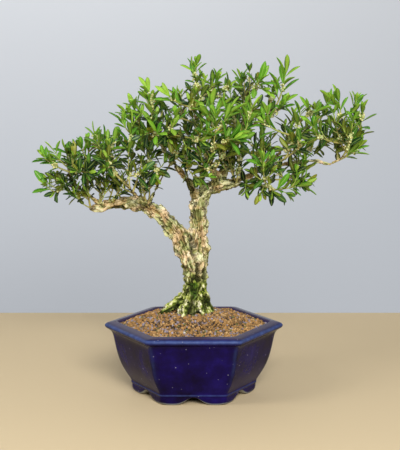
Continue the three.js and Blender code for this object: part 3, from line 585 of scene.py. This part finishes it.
# Packed grit is dark between the grains, because little light gets down there.
place = add("TexCoord").outputs["Object"]
grit = add("TexVoronoi", [place, 1 / 0.0024])
bed_colour = add("ValToRGB", [grit], [(0.1, "#553a1c"), (0.7, "#1c140c")])
hollows = add("Bump", {"Height": grit, "Strength": 0.8, "Distance": MILLIMETRE}, invert=True)
shader = add("BsdfPrincipled", {"Base Color": bed_colour, "Roughness": 0.95, "Normal": hollows})
add("OutputMaterial", [shader])
coat("soil", packed_grit)

bed = solid_of("soil")
bed_tree = BVHTree.FromBMesh(bed)
bed.free()

# A low heap of the same mix, pressed in round the foot of the trunk
heap = bmesh.new()
low = Matrix.Translation((0, 10, 77.5)) @ Matrix.Diagonal((56, 47, 9, 1))
bmesh.ops.create_icosphere(heap, subdivisions=5, radius=1, matrix=low)
for point in heap.verts:
    point.co.z += 1.6 * noise.noise(point.co / 11)
heap_tree = BVHTree.FromBMesh(heap)
place_piece("soil_heap", heap, packed_grit, "soil_grains")

draw = draws_from(51)
rows = []
row_count = int(SOIL_DEPTH / (GRAIN_STEP * ROW_SHARE))
for row in range(row_count):
    grains = bmesh.new()
    tint = grains.verts.layers.float_color.new("tint")
    y = (row - row_count / 2) * GRAIN_STEP * ROW_SHARE
    for column in range(int(SOIL_WIDTH / GRAIN_STEP)):
        x = (column - SOIL_WIDTH / 2 / GRAIN_STEP + 0.5 * (row % 2)) * GRAIN_STEP
        spot = Vector((x + 1.1 * (draw() - 0.5), y + 1.1 * (draw() - 0.5), 120))
        size = 1.05 + 0.8 * draw() ** 1.5
        lift = draw()
        spin = [draw() for _ in range(3)]
        pick = draw()
        shade = 0.8 + 0.4 * draw()
        squeeze = [0.75 + 0.5 * draw() for _ in range(3)]
        wall = max(abs(spot.x * sin(turn) - spot.y * cos(turn)) for turn in WALL_TURNS)
        if wall > SOIL_CORNER * ROW_SHARE - size or draw() < MISSING_GRAINS:
            continue
        bed_top, heap_top, wood_top = [
            (tree.ray_cast(spot, DOWN)[0] or Vector()).z for tree in (bed_tree, heap_tree, bark_tree)
        ]
        ground = max(bed_top, heap_top)
        if bed_top == 0 or ground < LOWEST_GRAIN or wood_top > ground + ROOT_COVER:
            continue
        turned = Matrix.Rotation(6.28 * spin[0], 4, "Z") @ Matrix.Rotation(6.28 * spin[1], 4, "X")
        shape = Matrix.Diagonal((*(size * part for part in squeeze), 1))
        rest = max(ground, wood_top) + 0.3 * size + 1.1 * lift * lift
        centre = Matrix.Translation((spot.x, spot.y, rest))
        made = bmesh.ops.create_icosphere(
            grains, subdivisions=1, radius=1, matrix=centre @ turned @ shape
        )["verts"]
        total = 0
        for code, share in GRAIN_COLOURS:
            total += share
            if pick < total:
                break
        colour = Vector(linear(code)[:3]) * shade
        for point in made:
            point.co += 0.28 * size * noise.noise_vector(point.co * 0.9)
            point[tint] = (*colour, 1)
    rows.append(grains)

grain_clay, add = new_material("fired_clay_grain")
# Fired clay and gravel are dull and porous, each grain one colour with a dusty face.
place = add("TexCoord").outputs["Object"]
own = add("Attribute", attribute_name="tint")
dust = add("TexNoise", [place, 1 / 0.0012, 3])
dust_share = add("MapRange", [dust, 0.3, 0.7, 0, 0.2])
dusted = add("Mix", [dust_share, own, "#a88c68"], data_type="RGBA")
pores = add("Bump", {"Height": dust, "Strength": 0.5, "Distance": 0.0004})
shader = add("BsdfPrincipled", {"Base Color": dusted, "Roughness": 0.88, "Normal": pores})
add("OutputMaterial", [shader])
place_piece("soil_grains", joined(rows), grain_clay, "soil_grains").data.shade_flat()


# The old foliage: forked twigs with crossed pairs of leathery leaves, dark and blue-green on the
# inside, each leaf narrow at its foot, widest past the middle and blunt at its tip. A spray's line
# holds where its twigs end, the second of which forks from the first.
TWIG_RADIUS, TWIG_TIP_RADIUS = 1.1, 0.5
SHORTEST_STEM = 14
SEAT_SPACING = 5
OLD_PAIRS, OLD_SPACING = 2, 9
TIP_GAP = 1.5  # between a twig's end and its last pair
JOINT_REACH = 0.6
OLIVE_SHARE = 0.25  # of the old leaves, which have weathered
SPRAYS = {
    "left_tip": [[-154, 8, 238], [-150, -12, 226]],
    "left_rise_front": [[-128, -28, 264], [-112, -46, 251]],
    "left_rise_back": [[-136, 34, 265], [-121, 62, 246]],
    "left_top": [[-115, 2, 270], [-85, 8, 272]],
    "left_front": [[-101, -36, 280], [-90, -54, 265]],
    "left_back": [[-105, 34, 278], [-93, 56, 252]],
    "left_inner_front": [[-70, -26, 271], [-56, -40, 250]],
    "left_inner_back": [[-69, 42, 267], [-50, 54, 254]],
    "left_inner": [[-54, 0, 268], [-39, -14, 248]],
    "crown_left": [[-59, 18, 296], [-51, 34, 279]],
    "crown_left_top": [[-45, -8, 311], [-40, -32, 288]],
    "crown_top_left": [[-28, 14, 313], [-15, 26, 327]],
    "crown_front_left": [[-23, -44, 298], [7, -62, 286]],
    "crown_low_left": [[-19, -22, 272], [0, -22, 243]],
    "crown_top": [[-4, -16, 323], [10, 10, 334]],
    "crown_low_front": [[10, -42, 260], [33, -38, 272]],
    "crown_front": [[23, -70, 301], [53, -48, 293]],
    "crown_top_back": [[20, 34, 332], [37, 2, 339]],
    "crown_right_top": [[54, 42, 331], [64, 12, 311]],
    "crown_back_right": [[43, 66, 317], [53, 82, 288]],
    "crown_low_right": [[61, -20, 268], [76, 34, 283]],
    "crown_back": [[-9, 56, 290], [7, 82, 299]],
    "crown_back_left": [[-27, 72, 275], [24, 64, 265]],
    "right_inner_top": [[92, 6, 314], [83, 46, 314]],
    "right_top": [[114, -22, 311], [129, 2, 301]],
    "right_back_top": [[109, 28, 295], [144, 32, 306]],
    "right_top_front": [[153, -12, 300], [133, -32, 288]],
    "right_front": [[113, -42, 283], [98, -14, 272]],
    "right_tip": [[169, -24, 294], [172, 12, 278]],
    "right_tip_back": [[158, 30, 286], [183, 20, 286]],
    "right_back": [[125, 50, 266], [154, 54, 275]],
    "right_low": [[112, 2, 236], [114, -24, 250]],
    "right_low_front": [[84, -36, 230], [74, -46, 250]],
}
# Sprays with sky between them, which have grown no side tufts
OPEN_SPRAYS = [
    "right_back", "right_front", "right_inner_top", "right_top", "crown_low_right", "crown_top_left",
    "crown_top_back", "left_inner_front", "left_inner_back", "left_rise_back",
]
# A stem that bows aside to pass its neighbours: how far, and in which direction
BOWED_SPRAYS = {"right_front": (18, 60)}


class Twig:
    """A stem that leaves its holder sideways and turns up towards its end."""

    def __init__(self, start, end, thick, bow=(0, 0)):
        reach, bearing = bow[0], radians(bow[1])
        self.start, self.end, self.thick = start, end, thick
        self.middle = Vector((
            0.35 * start.x + 0.65 * end.x + reach * cos(bearing),
            0.35 * start.y + 0.65 * end.y + reach * sin(bearing),
            0.68 * start.z + 0.32 * end.z + reach / 3,
        ))
        steps = [self.at(i / 40) for i in range(41)]
        self.length = sum((b - a).length for a, b in zip(steps, steps[1:]))

    def at(self, share):
        return self.start * (1 - share) ** 2 + self.middle * 2 * share * (1 - share) + self.end * share**2

    def sides(self, share, across):
        """Along the twig at a share of it, and the two ways square to that."""
        step = (self.middle - self.start) * (1 - share) + (self.end - self.middle) * share
        along = step.normalized()
        side = (across - along * across.dot(along)).normalized()
        return along, side, along.cross(side)


seats = []


def best_seat(lines, to):
    """The point of the lines that an end is best grown from: near, and not above it."""
    best, lowest = None, None
    for line in lines:
        for a, b in zip(line, line[1:]):
            for share in (0, 0.25, 0.5, 0.75):
                at = a.lerp(b, share)
                distance = (at - to).length
                cost = distance + 2 * max(0, at.z + 12 - to.z)
                free = distance > SHORTEST_STEM and all((seat - at).length > SEAT_SPACING for seat in seats)
                if free and (lowest is None or cost < lowest):
                    best, lowest = at, cost
    seats.append(best)
    return best


def cad_joints(twig):
    """The places that the solid twig bends at, which the new growth is seated on."""
    shares = []
    for pair in reversed(range(OLD_PAIRS)):
        joint = max(0.2, 1 - (pair * OLD_SPACING + TIP_GAP) / twig.length)
        shares += [joint - JOINT_REACH / twig.length, joint + JOINT_REACH / twig.length]
    if twig.length * shares[0] > 14:
        shares.insert(0, 0.5 * shares[0])
    return [twig.at(share) for share in [0, *shares]]


def leaf_blade(outline, fold, arch, curl):
    """One leaf of length and width 1, along Y with its face up: a thin closed lens over a folded rib.
    The outline is its half width at stations along it."""
    blade = bmesh.new()
    rows = len(outline) - 1
    bmesh.ops.create_grid(blade, x_segments=4, y_segments=rows, size=0.5)
    mark = blade.verts.layers.float_color.new("leaf")
    for point in blade.verts:
        across = 2 * point.co.x
        share, width = outline[round((point.co.y + 0.5) * rows)]
        if share == 1 and abs(across) < 0.1:
            share = 0.985
        rise = fold * abs(across) * width - arch * share**2 + curl * share**3
        point.co = (0.5 * across * width, share, rise)
        point[mark] = (0.5 + 0.5 * across, share, 1, 1)
    under = bmesh.ops.duplicate(blade, geom=blade.faces[:] + blade.edges[:] + blade.verts[:])["geom"]
    bmesh.ops.reverse_faces(blade, faces=[item for item in under if isinstance(item, bmesh.types.BMFace)])
    for point in blade.verts:
        across, share = 2 * point[mark][0] - 1, point[mark][1]
        depth = 0.011 if abs(across) < 0.9 and 0.01 < share < 0.975 else 0
        if point in under:
            point[mark] = (point[mark][0], share, 0, 1)
            depth = -depth
        point.co.z += depth
    bmesh.ops.remove_doubles(blade, verts=blade.verts, dist=1e-4)
    return finished("blade", blade)


# A leaf's length and width, how far it opens from its twig in degrees, also at the tip, and how far
# apart the pairs are
OLD_OUTLINE = [
    (0, 0.12), (0.12, 0.26), (0.32, 0.68), (0.5, 0.95), (0.66, 1), (0.83, 0.82), (0.95, 0.44), (1, 0.14),
]
OLD_LEAF = {
    "length": 18.5, "width": 6.2, "splay": 52, "tip": 32, "spacing": OLD_SPACING, "young": False,
    "blades": [
        leaf_blade(OLD_OUTLINE, 0.05, *bend) for bend in ((0.02, 0), (0.12, 0), (0.2, 0.04), (0.3, 0.08))
    ],
    "greens": ["#0d1b0f", "#132612", "#1d3917", "#335819", "#577f20", "#7c9c2e"],
}
# This year's leaves, which some sprays end in as well: longer, narrower and bright yellow-green
NEW_OUTLINE = [
    (0, 0.12), (0.12, 0.26), (0.3, 0.66), (0.5, 0.94), (0.66, 1), (0.82, 0.84), (0.94, 0.46), (1, 0.12),
]
NEW_LEAF = {
    "length": 21, "width": 5.4, "splay": 42, "tip": 36, "spacing": 8, "young": True,
    "blades": [
        leaf_blade(NEW_OUTLINE, 0.07, *bend) for bend in ((0, 0), (0.06, 0), (0.12, 0.02), (0.2, 0.05))
    ],
    "greens": ["#2a5b11", "#3b6f15", "#4f831b", "#679524", "#81a531"],
}


def mixed(codes, share):
    """A colour between those of a list."""
    place = min(len(codes) - 1.001, max(0, share * (len(codes) - 1)))
    first = int(place)
    return Vector(linear(codes[first])[:3]).lerp(Vector(linear(codes[first + 1])[:3]), place - first)


def add_twig(mesh, twig, across, green, steps=8):
    """A round twig, greener towards its end, its foot sunk in its holder and its end closed by a bud."""
    tint = mesh.verts.layers.float_color["tint"]
    mark = mesh.verts.layers.float_color["leaf"]
    foot = bmesh.ops.create_circle(mesh, segments=6, radius=1)["verts"]
    loops = [foot]
    edges = list(dict.fromkeys(edge for point in foot for edge in point.link_edges))
    for _ in range(steps):
        points, edges = extrude_loop(mesh, edges)
        loops.append(points)
    for i, loop in enumerate(loops):
        share = i / steps
        along, side, beside = twig.sides(share, across)
        swell = 1 + 0.25 * exp(-((share * twig.length) % 9) / 1.2)
        radius = twig.thick + (TWIG_TIP_RADIUS - twig.thick) * share
        colour = mixed(["#94764e", "#8a7a44", "#7a8238", "#6c8f30"], share * green)
        for point in loop:
            bend = side * point.co.x + beside * point.co.y
            point.co = twig.at(share) + bend * radius * swell
            point[tint] = (*colour, 1)
            point[mark] = (0.5, 0, 0.5, 1)
    bud = bmesh.ops.contextual_create(mesh, geom=edges)["faces"]
    for point in bmesh.ops.poke(mesh, faces=bud)["verts"]:
        point.co += 1.5 * along
    sole = dict.fromkeys(edge for point in foot for edge in point.link_edges if edge.is_boundary)
    bmesh.ops.contextual_create(mesh, geom=list(sole))


def add_leaf(mesh, form, at, along, side, look, size, opened, roll, colour):
    """One leaf from its foot at a joint, opened away from the twig."""
    sine, cosine = sin(radians(opened)), cos(radians(opened))
    ahead = along * cosine + side * sine
    face = along * sine - side * cosine
    face += Vector((0, 0, 0.6)) - 0.6 * ahead.z * ahead
    face = (face - ahead * face.dot(ahead)).normalized()
    face.rotate(Matrix.Rotation(roll, 3, ahead))
    right = ahead.cross(face)
    length, width = form["length"] * size, form["width"] * size
    turned = Matrix((right * width, ahead * length, face * length)).transposed().to_4x4()
    tint = mesh.verts.layers.float_color["tint"]
    before = len(mesh.verts)
    blades = form["blades"]
    mesh.from_mesh(blades[int(look() * len(blades)) % len(blades)])
    mesh.verts.ensure_lookup_table()
    made = [mesh.verts[i] for i in range(before, len(mesh.verts))]
    bmesh.ops.transform(mesh, matrix=Matrix.Translation(at) @ turned, verts=made)
    for point in made:
        point[tint] = (*colour, 1)


def leaf_up(mesh, twig, form, draw, look, pairs, across, bare, fill):
    """Crossed pairs of leaves from the twig's end backwards, as far as its bare foot. The pairs that
    the solid has too are drawn for it, and a share of the odd leaves between pairs fills up."""
    step, young = form["spacing"], form["young"]
    for half in range(2 * int(twig.length * (1 - bare) / step) + 2):
        share = 1 - (half * step / 2 + TIP_GAP) / twig.length
        between = half % 2 == 1
        planned = not between and half // 2 < pairs
        if planned:
            share = max(0.2, share)
        elif share < bare:
            continue
        along, side, beside = twig.sides(share, across)
        facing = (side, beside)[half // 2 % 2]
        if between:
            facing = (side + beside).normalized() if half // 2 % 2 else (side - beside).normalized()
        for way in (1, -1):
            source = draw if planned else look
            size = (0.84 + 0.36 * source()) * (0.94 if half == 0 else 1)
            opened = form["tip" if half == 0 else "splay"] + 22 * (source() - 0.5)
            roll = 0.5 * (source() - 0.5)
            if between:
                size *= 0.72
                if look() > fill:
                    continue
            # Painted light: leaves higher in the crown are coloured lighter, as if more sun reached them
            painted_top_light = smooth_step(230, 330, twig.at(share).z)
            colour = mixed(form["greens"], 0.45 * share + 0.25 * painted_top_light + 0.6 * (look() - 0.4))
            if not young and look() < OLIVE_SHARE:
                colour = mixed(["#363b0e", "#555c13", "#78781f"], look())
            add_leaf(mesh, form, twig.at(share), along, facing * way, look, size, opened, roll, colour)
    # The bud opens with two small leaves, or on a strong new shoot with one that is nearly full grown
    along, side, beside = twig.sides(1, across)
    strong = young and twig.length > 20
    for way in (1,) if strong else (1, -1):
        facing = (side + beside).normalized() * way
        size = (0.8 if strong else 0.5) + 0.2 * look()
        opened = (4 if strong else 14) + 12 * look()
        add_leaf(mesh, form, twig.end, along, facing, look, size, opened, 0, mixed(form["greens"], 1))


def grow_piece(twigs, form, seed, pairs, bare, green, tufts, fill, fresh=0):
    """One leafy piece: its twigs, their leaves, short side tufts from the joints, and fresh ends."""
    look = draws_from(7000 + seed)
    grown = []
    for k, twig in enumerate(twigs):
        mesh = bmesh.new()
        grown.append(mesh)
        mesh.verts.layers.float_color.new("tint")
        mesh.verts.layers.float_color.new("leaf")
        draw = draws_from(100 * seed + k)
        across = ACROSS.copy()
        across.rotate(Matrix.Rotation(2 * pi * draw(), 3, twig.sides(0, ACROSS)[0]))
        add_twig(mesh, twig, across, green)
        leaf_up(mesh, twig, form, draw, look, pairs, across, bare, fill)
        for tuft in range(tufts):
            share = 0.3 + 0.56 * (tuft + look()) / tufts
            along, side, beside = twig.sides(share, across)
            bearing = 2 * pi * (tuft * 0.38 + 0.25 * look())
            aside = side * cos(bearing) + beside * sin(bearing)
            reach = (0.7 * along + 0.85 * aside + Vector((0, 0, 0.35))).normalized() * (9 + 9 * look())
            small = Twig(twig.at(share), twig.at(share) + reach, 0.7 * TWIG_RADIUS)
            add_twig(mesh, small, across, 1, steps=3)
            smaller = {**form, "length": form["length"] * 0.84, "width": form["width"] * 0.9, "spacing": 6.5}
            leaf_up(mesh, small, smaller, look, look, 2, across, 0.3, 0.15)
        if look() < fresh:
            lean = Vector((0.3 * look() - 0.15, 0.3 * look() - 0.15, 0.9))
            reach = (twig.sides(1, across)[0] + lean).normalized()
            shoot = Twig(twig.end, twig.end + reach * (9 + 7 * look()), 0.8)
            add_twig(mesh, shoot, across, 1, steps=4)
            light = {**NEW_LEAF, "length": 17 + 4 * look(), "width": 5.8, "spacing": 6}
            leaf_up(mesh, shoot, light, look, look, 1 + int(2 * look()), across, 0.4, 0)
    return joined(grown)


cuticle, add = new_material("boxwood_leaf_waxed")
# A waxy skin over green tissue: softly glossy above, dull and paler below, with a pale midrib, and
# light that comes through where the sun is behind.
place = add("TexCoord").outputs["Object"]
own = add("Attribute", attribute_name="tint")
marks = add("Attribute", attribute_name="leaf")
breadth, _, above = add("SeparateColor", [marks]).outputs
blotch = add("TexNoise", [place, 1 / 0.007, 3])
varied = add("MapRange", [blotch, 0.3, 0.7, 0.78, 1.2])
toned = add("Mix", [1, own, varied], data_type="RGBA", blend_type="MULTIPLY")
off_rib = add("Math", [breadth, 0.5], operation="SUBTRACT")
rib_gap = add("Math", [off_rib], operation="ABSOLUTE")
rib = add("MapRange", [rib_gap, 0.1, 0.03, 0, 0.32])
ribbed = add("Mix", [rib, toned, "#a9bf62"], data_type="RGBA")
below = add("MapRange", [above, 0.3, 0, 0, 0.5])
paled = add("Mix", [below, ribbed, "#728530"], data_type="RGBA")
veins = add("TexNoise", [place, 1 / 0.0012])
veined = add("Bump", {"Height": veins, "Strength": 0.2, "Distance": 0.0003})
shader = add(
    "BsdfPrincipled",
    {"Base Color": paled, "Roughness": 0.4, "IOR": 1.45, "Specular IOR Level": 0.2,
     "Subsurface Weight": 0.15, "Subsurface Radius": (0.3, 0.8, 0.12), "Subsurface Scale": 0.002,
     "Normal": veined},
)
add("OutputMaterial", [shader])

old_joints = []
bare_lines = [[at for at, _ in line] for line in wood_lines]
spray_twigs = {}
for name, ends in SPRAYS.items():
    first, second = Vector(ends[0]), Vector(ends[1])
    main = Twig(best_seat(bare_lines, first), first, TWIG_RADIUS, BOWED_SPRAYS.get(name, (0, 0)))
    spray_twigs[name] = [main, Twig(main.at(0.42), second, 0.85 * TWIG_RADIUS)]
    old_joints += [cad_joints(twig) for twig in spray_twigs[name]]
for i, (name, twigs) in enumerate(spray_twigs.items()):
    tufts, fresh = 2, 0.2 if name.startswith("left") else 0.75
    if name in OPEN_SPRAYS:
        tufts, fresh = 0, 0
    mesh = grow_piece(twigs, OLD_LEAF, 100 + i, OLD_PAIRS, 0.3, 0.5, tufts, 0.35, fresh)
    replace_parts(place_piece(f"leaves_{name}", mesh, cuticle, "old_foliage"), f"spray_{name}")


# The new growth: this year's shoots, straight and soft, with longer, narrower leaves of a bright
# yellow-green that stand close to the stem.
NEW_PAIRS = 3
NEW_SHOOTS = {
    "top": [-1, -8, 357],
    "top_back": [13, 16, 345],
    "crown_left": [-48, -12, 334],
    "crown_left_front": [-25, -30, 329],
    "crown_far_left": [-64, 2, 314],
    "crown_low_left": [-66, -22, 299],
    "left_top_front": [-86, -26, 280],
    "crown_right": [71, -8, 345],
    "leader": [100, 12, 351],
    "front_high": [19, -50, 319],
    "front_middle": [36, -58, 314],
    "front_low": [40, -62, 290],
    "front_right": [60, -40, 316],
    "side_right": [76, -30, 302],
    "low_right": [74, -44, 258],
    "right_top": [156, -14, 324],
    "right_far": [183, 2, 310],
    "right_inner": [124, -20, 314],
    "left_far": [-159, -10, 262],
    "left_rise": [-137, 8, 266],
    "left_top": [-107, 0, 285],
    "right_tip": [177, 4, 270],
}
BOWED_SHOOTS = {
    "top_back": (18, 0), "crown_left": (6, 0), "front_low": (12, 240), "low_right": (12, 60),
    "right_top": (6, 0), "right_inner": (12, 60), "left_rise": (6, 0), "left_top": (6, 0),
    "right_tip": (6, 60),
}
shoot_twigs = {}
for name, end in NEW_SHOOTS.items():
    seat = best_seat(bare_lines + old_joints, Vector(end))
    shoot_twigs[name] = Twig(seat, Vector(end), TWIG_RADIUS, BOWED_SHOOTS.get(name, (0, 0)))
for i, (name, twig) in enumerate(shoot_twigs.items()):
    form = NEW_LEAF
    if name.startswith("front"):
        form = {**NEW_LEAF, "length": 23, "width": 6.6}
    elif name in ("leader", "crown_right"):
        form = {**NEW_LEAF, "length": 25, "width": 6.6}
    elif name.startswith("left") or name == "top":
        form = {**NEW_LEAF, "length": 18}
    mesh = grow_piece([twig], form, 300 + i, NEW_PAIRS, 0.4, 1, 1, 0)
    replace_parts(place_piece(f"shoot_{name}", mesh, cuticle, "new_foliage"), f"new_{name}")


# Late shoots: short ones from the joints of older twigs, light at the outline of the crown and dark
# where they hang below the branches.
LATE_SHOOTS = [
    [-150, -6, 268], [-62, 4, 318], [-73, 10, 308], [174, 0, 317], [116, -32, 236], [99, 4, 322],
    [30, -4, 318], [-122, 0, 272], [104, 0, 286],
]
LOW_SHOOTS = [
    [-140, -10, 228], [-128, -20, 224], [-116, -16, 226], [-84, -14, 238], [94, -12, 250], [68, -24, 233],
    [80, -26, 234], [56, -20, 236], [112, -26, 240], [-31, 0, 272], [62, 0, 282], [112, 0, 264],
    [-96, -4, 228], [-78, 0, 268],
]
for name, ends, form, slot in (
    ("late_shoots", LATE_SHOOTS, {**NEW_LEAF, "length": 18}, "new_foliage"),
    ("low_shoots", LOW_SHOOTS, {**OLD_LEAF, "length": 17, "width": 5}, "old_foliage"),
):
    twigs = [Twig(best_seat(bare_lines + old_joints, Vector(end)), Vector(end), 0.9) for end in ends]
    mesh = grow_piece(twigs, form, 400 + len(ends), 2, 0.4, 1, 1, 0.2)
    place_piece(name, mesh, cuticle, slot)


# The inner twigs: thin, bare and light brown, they rise from the upper branches into the foliage
# and carry small dark leaves at their ends only.
TWIG_STEP = 12
inner_twigs = []
draw = draws_from(61)
for points, line in zip([*STEMS, *ROOTS, *BRANCHES], wood_lines):
    if points in ROOTS:
        continue
    travelled = 0
    for (a, radius), (b, _) in zip(line, line[1:]):
        travelled += (b - a).length
        if travelled < TWIG_STEP or radius > 7.4 or a.z < 200 or a.x > 66 or -76 < a.x < -56:
            continue
        travelled -= TWIG_STEP
        lean = Vector((26 * (draw() - 0.5), 30 * (draw() - 0.5), 20 + 16 * draw()))
        start = a.lerp(b, draw())
        inner_twigs.append(Twig(start, start + lean, 1.35, (7 * draw(), 360 * draw())))
small = {**OLD_LEAF, "length": 15, "width": 4.6, "greens": OLD_LEAF["greens"][:4]}
mesh = grow_piece(inner_twigs, small, 500, 2, 0.55, 0.25, 1, 0.5)
place_piece("inner_twigs", mesh, cuticle, "old_foliage")


# The flower buds: cream-green clusters no bigger than a pea, which sit in the forks of the leaves
# in late winter.
clusters = []
draw = draws_from(77)
all_twigs = [twig for twigs in spray_twigs.values() for twig in twigs] + list(shoot_twigs.values())
for twig in all_twigs + inner_twigs[::2]:
    buds = bmesh.new()
    clusters.append(buds)
    for _ in range(1 + int(2.8 * draw())):
        share = 0.35 + 0.6 * draw()
        along, side, beside = twig.sides(share, ACROSS)
        for _ in range(9 + int(8 * draw())):
            bearing = 2 * pi * draw()
            offset = side * cos(bearing) + beside * sin(bearing)
            at = twig.at(share) + offset * (0.8 + 2.1 * draw()) + along * 8 * (draw() - 0.5)
            size = 0.9 + 0.85 * draw()
            bmesh.ops.create_icosphere(buds, subdivisions=1, radius=size, matrix=Matrix.Translation(at))

bud_scale, add = new_material("boxwood_flower_bud_waxy")
# Bud scales are waxy and a little see-through, cream at their tips and green below.
place = add("TexCoord").outputs["Object"]
speckle = add("TexNoise", [place, 1 / 0.0018])
creamy = add("ValToRGB", [speckle], [(0.3, "#7d8a40"), (0.5, "#b3b673"), (0.7, "#dddba6")])
shader = add(
    "BsdfPrincipled",
    {"Base Color": creamy, "Roughness": 0.5, "Subsurface Weight": 0.2, "Subsurface Scale": MILLIMETRE},
)
add("OutputMaterial", [shader])
place_piece("flower_buds", joined(clusters), bud_scale, "new_foliage")


# The studio: a plain pale table top, a sheet of pale grey paper hung behind it, a large soft light
# high in front, a weaker one from the left, a strip over the paper, and weak light all round.
def add_sheet(name, size, place, tilt, colour):
    """A flat sheet of the studio in one plain colour, clear from behind."""
    sheet = bmesh.new()
    bmesh.ops.create_grid(sheet, x_segments=1, y_segments=1, size=0.5)
    bmesh.ops.scale(sheet, verts=sheet.verts, vec=(*size, 1))
    plain, add = new_material(name + "_matte")
    front = add("BsdfPrincipled", {"Base Color": colour, "Roughness": 0.9})
    behind = add("NewGeometry").outputs["Backfacing"]
    shader = add("MixShader", [behind, front, add("BsdfTransparent")])
    add("OutputMaterial", [shader])
    made = add_object(name, finished(name, sheet))
    made.data.materials.append(plain)
    made.location = place
    made.rotation_euler = (tilt, 0, 0)


add_sheet("studio_floor", (3.2, 2.4), (0, -0.8, 0), 0, "#c4b08c")
add_sheet("studio_backdrop", (6, 4), (0, 1.6, 1.2), pi / 2, "#c8cbcf")

world = bpy.data.worlds.new("studio_air")
bpy.context.scene.world = world
world.use_nodes = True
air = world.node_tree.nodes["Background"].inputs
air["Color"].default_value = linear("#dfe3ea")
air["Strength"].default_value = 0.45

for name, place, aim, size, power in (
    ("key_softbox", (0.3, -1.7, 1.0), (0, 0, 0.2), (0.8, 0.6), 48),
    ("side_softbox", (-1.2, -0.7, 1.0), (0, 0, 0.2), (0.6, 0.8), 10),
    ("paper_softbox", (-0.9, 1.0, 1.4), (-0.9, 1.6, 1.1), (2.4, 0.3), 16),
):
    lamp = bpy.data.lights.new(name, "AREA")
    lamp.shape = "RECTANGLE"
    lamp.size, lamp.size_y = size
    lamp.energy = power
    softbox = add_object(name, lamp)
    softbox.location = place
    softbox.rotation_euler = (Vector(aim) - Vector(place)).to_track_quat("-Z", "Y").to_euler()

# The camera: a long lens at a little over the crown's height, tilted down onto the pot. Its focal
# length is in pixels of the picture, and the tilt in radians.
FOCAL_LENGTH, PICTURE_HEIGHT = 1306.8, 450
SENSOR = 36
TILT = 0.149
lens = bpy.data.cameras.new("camera")
lens.sensor_width = SENSOR
lens.lens = FOCAL_LENGTH / PICTURE_HEIGHT * SENSOR
camera = add_object("camera", lens)
camera.location = (-0.0021, -1.427, 0.401)
camera.rotation_euler = (pi / 2 - TILT, 0, 0)
bpy.context.scene.camera = camera
bpy.context.scene.view_settings.view_transform = "Standard"

bpy.context.view_layer.update()
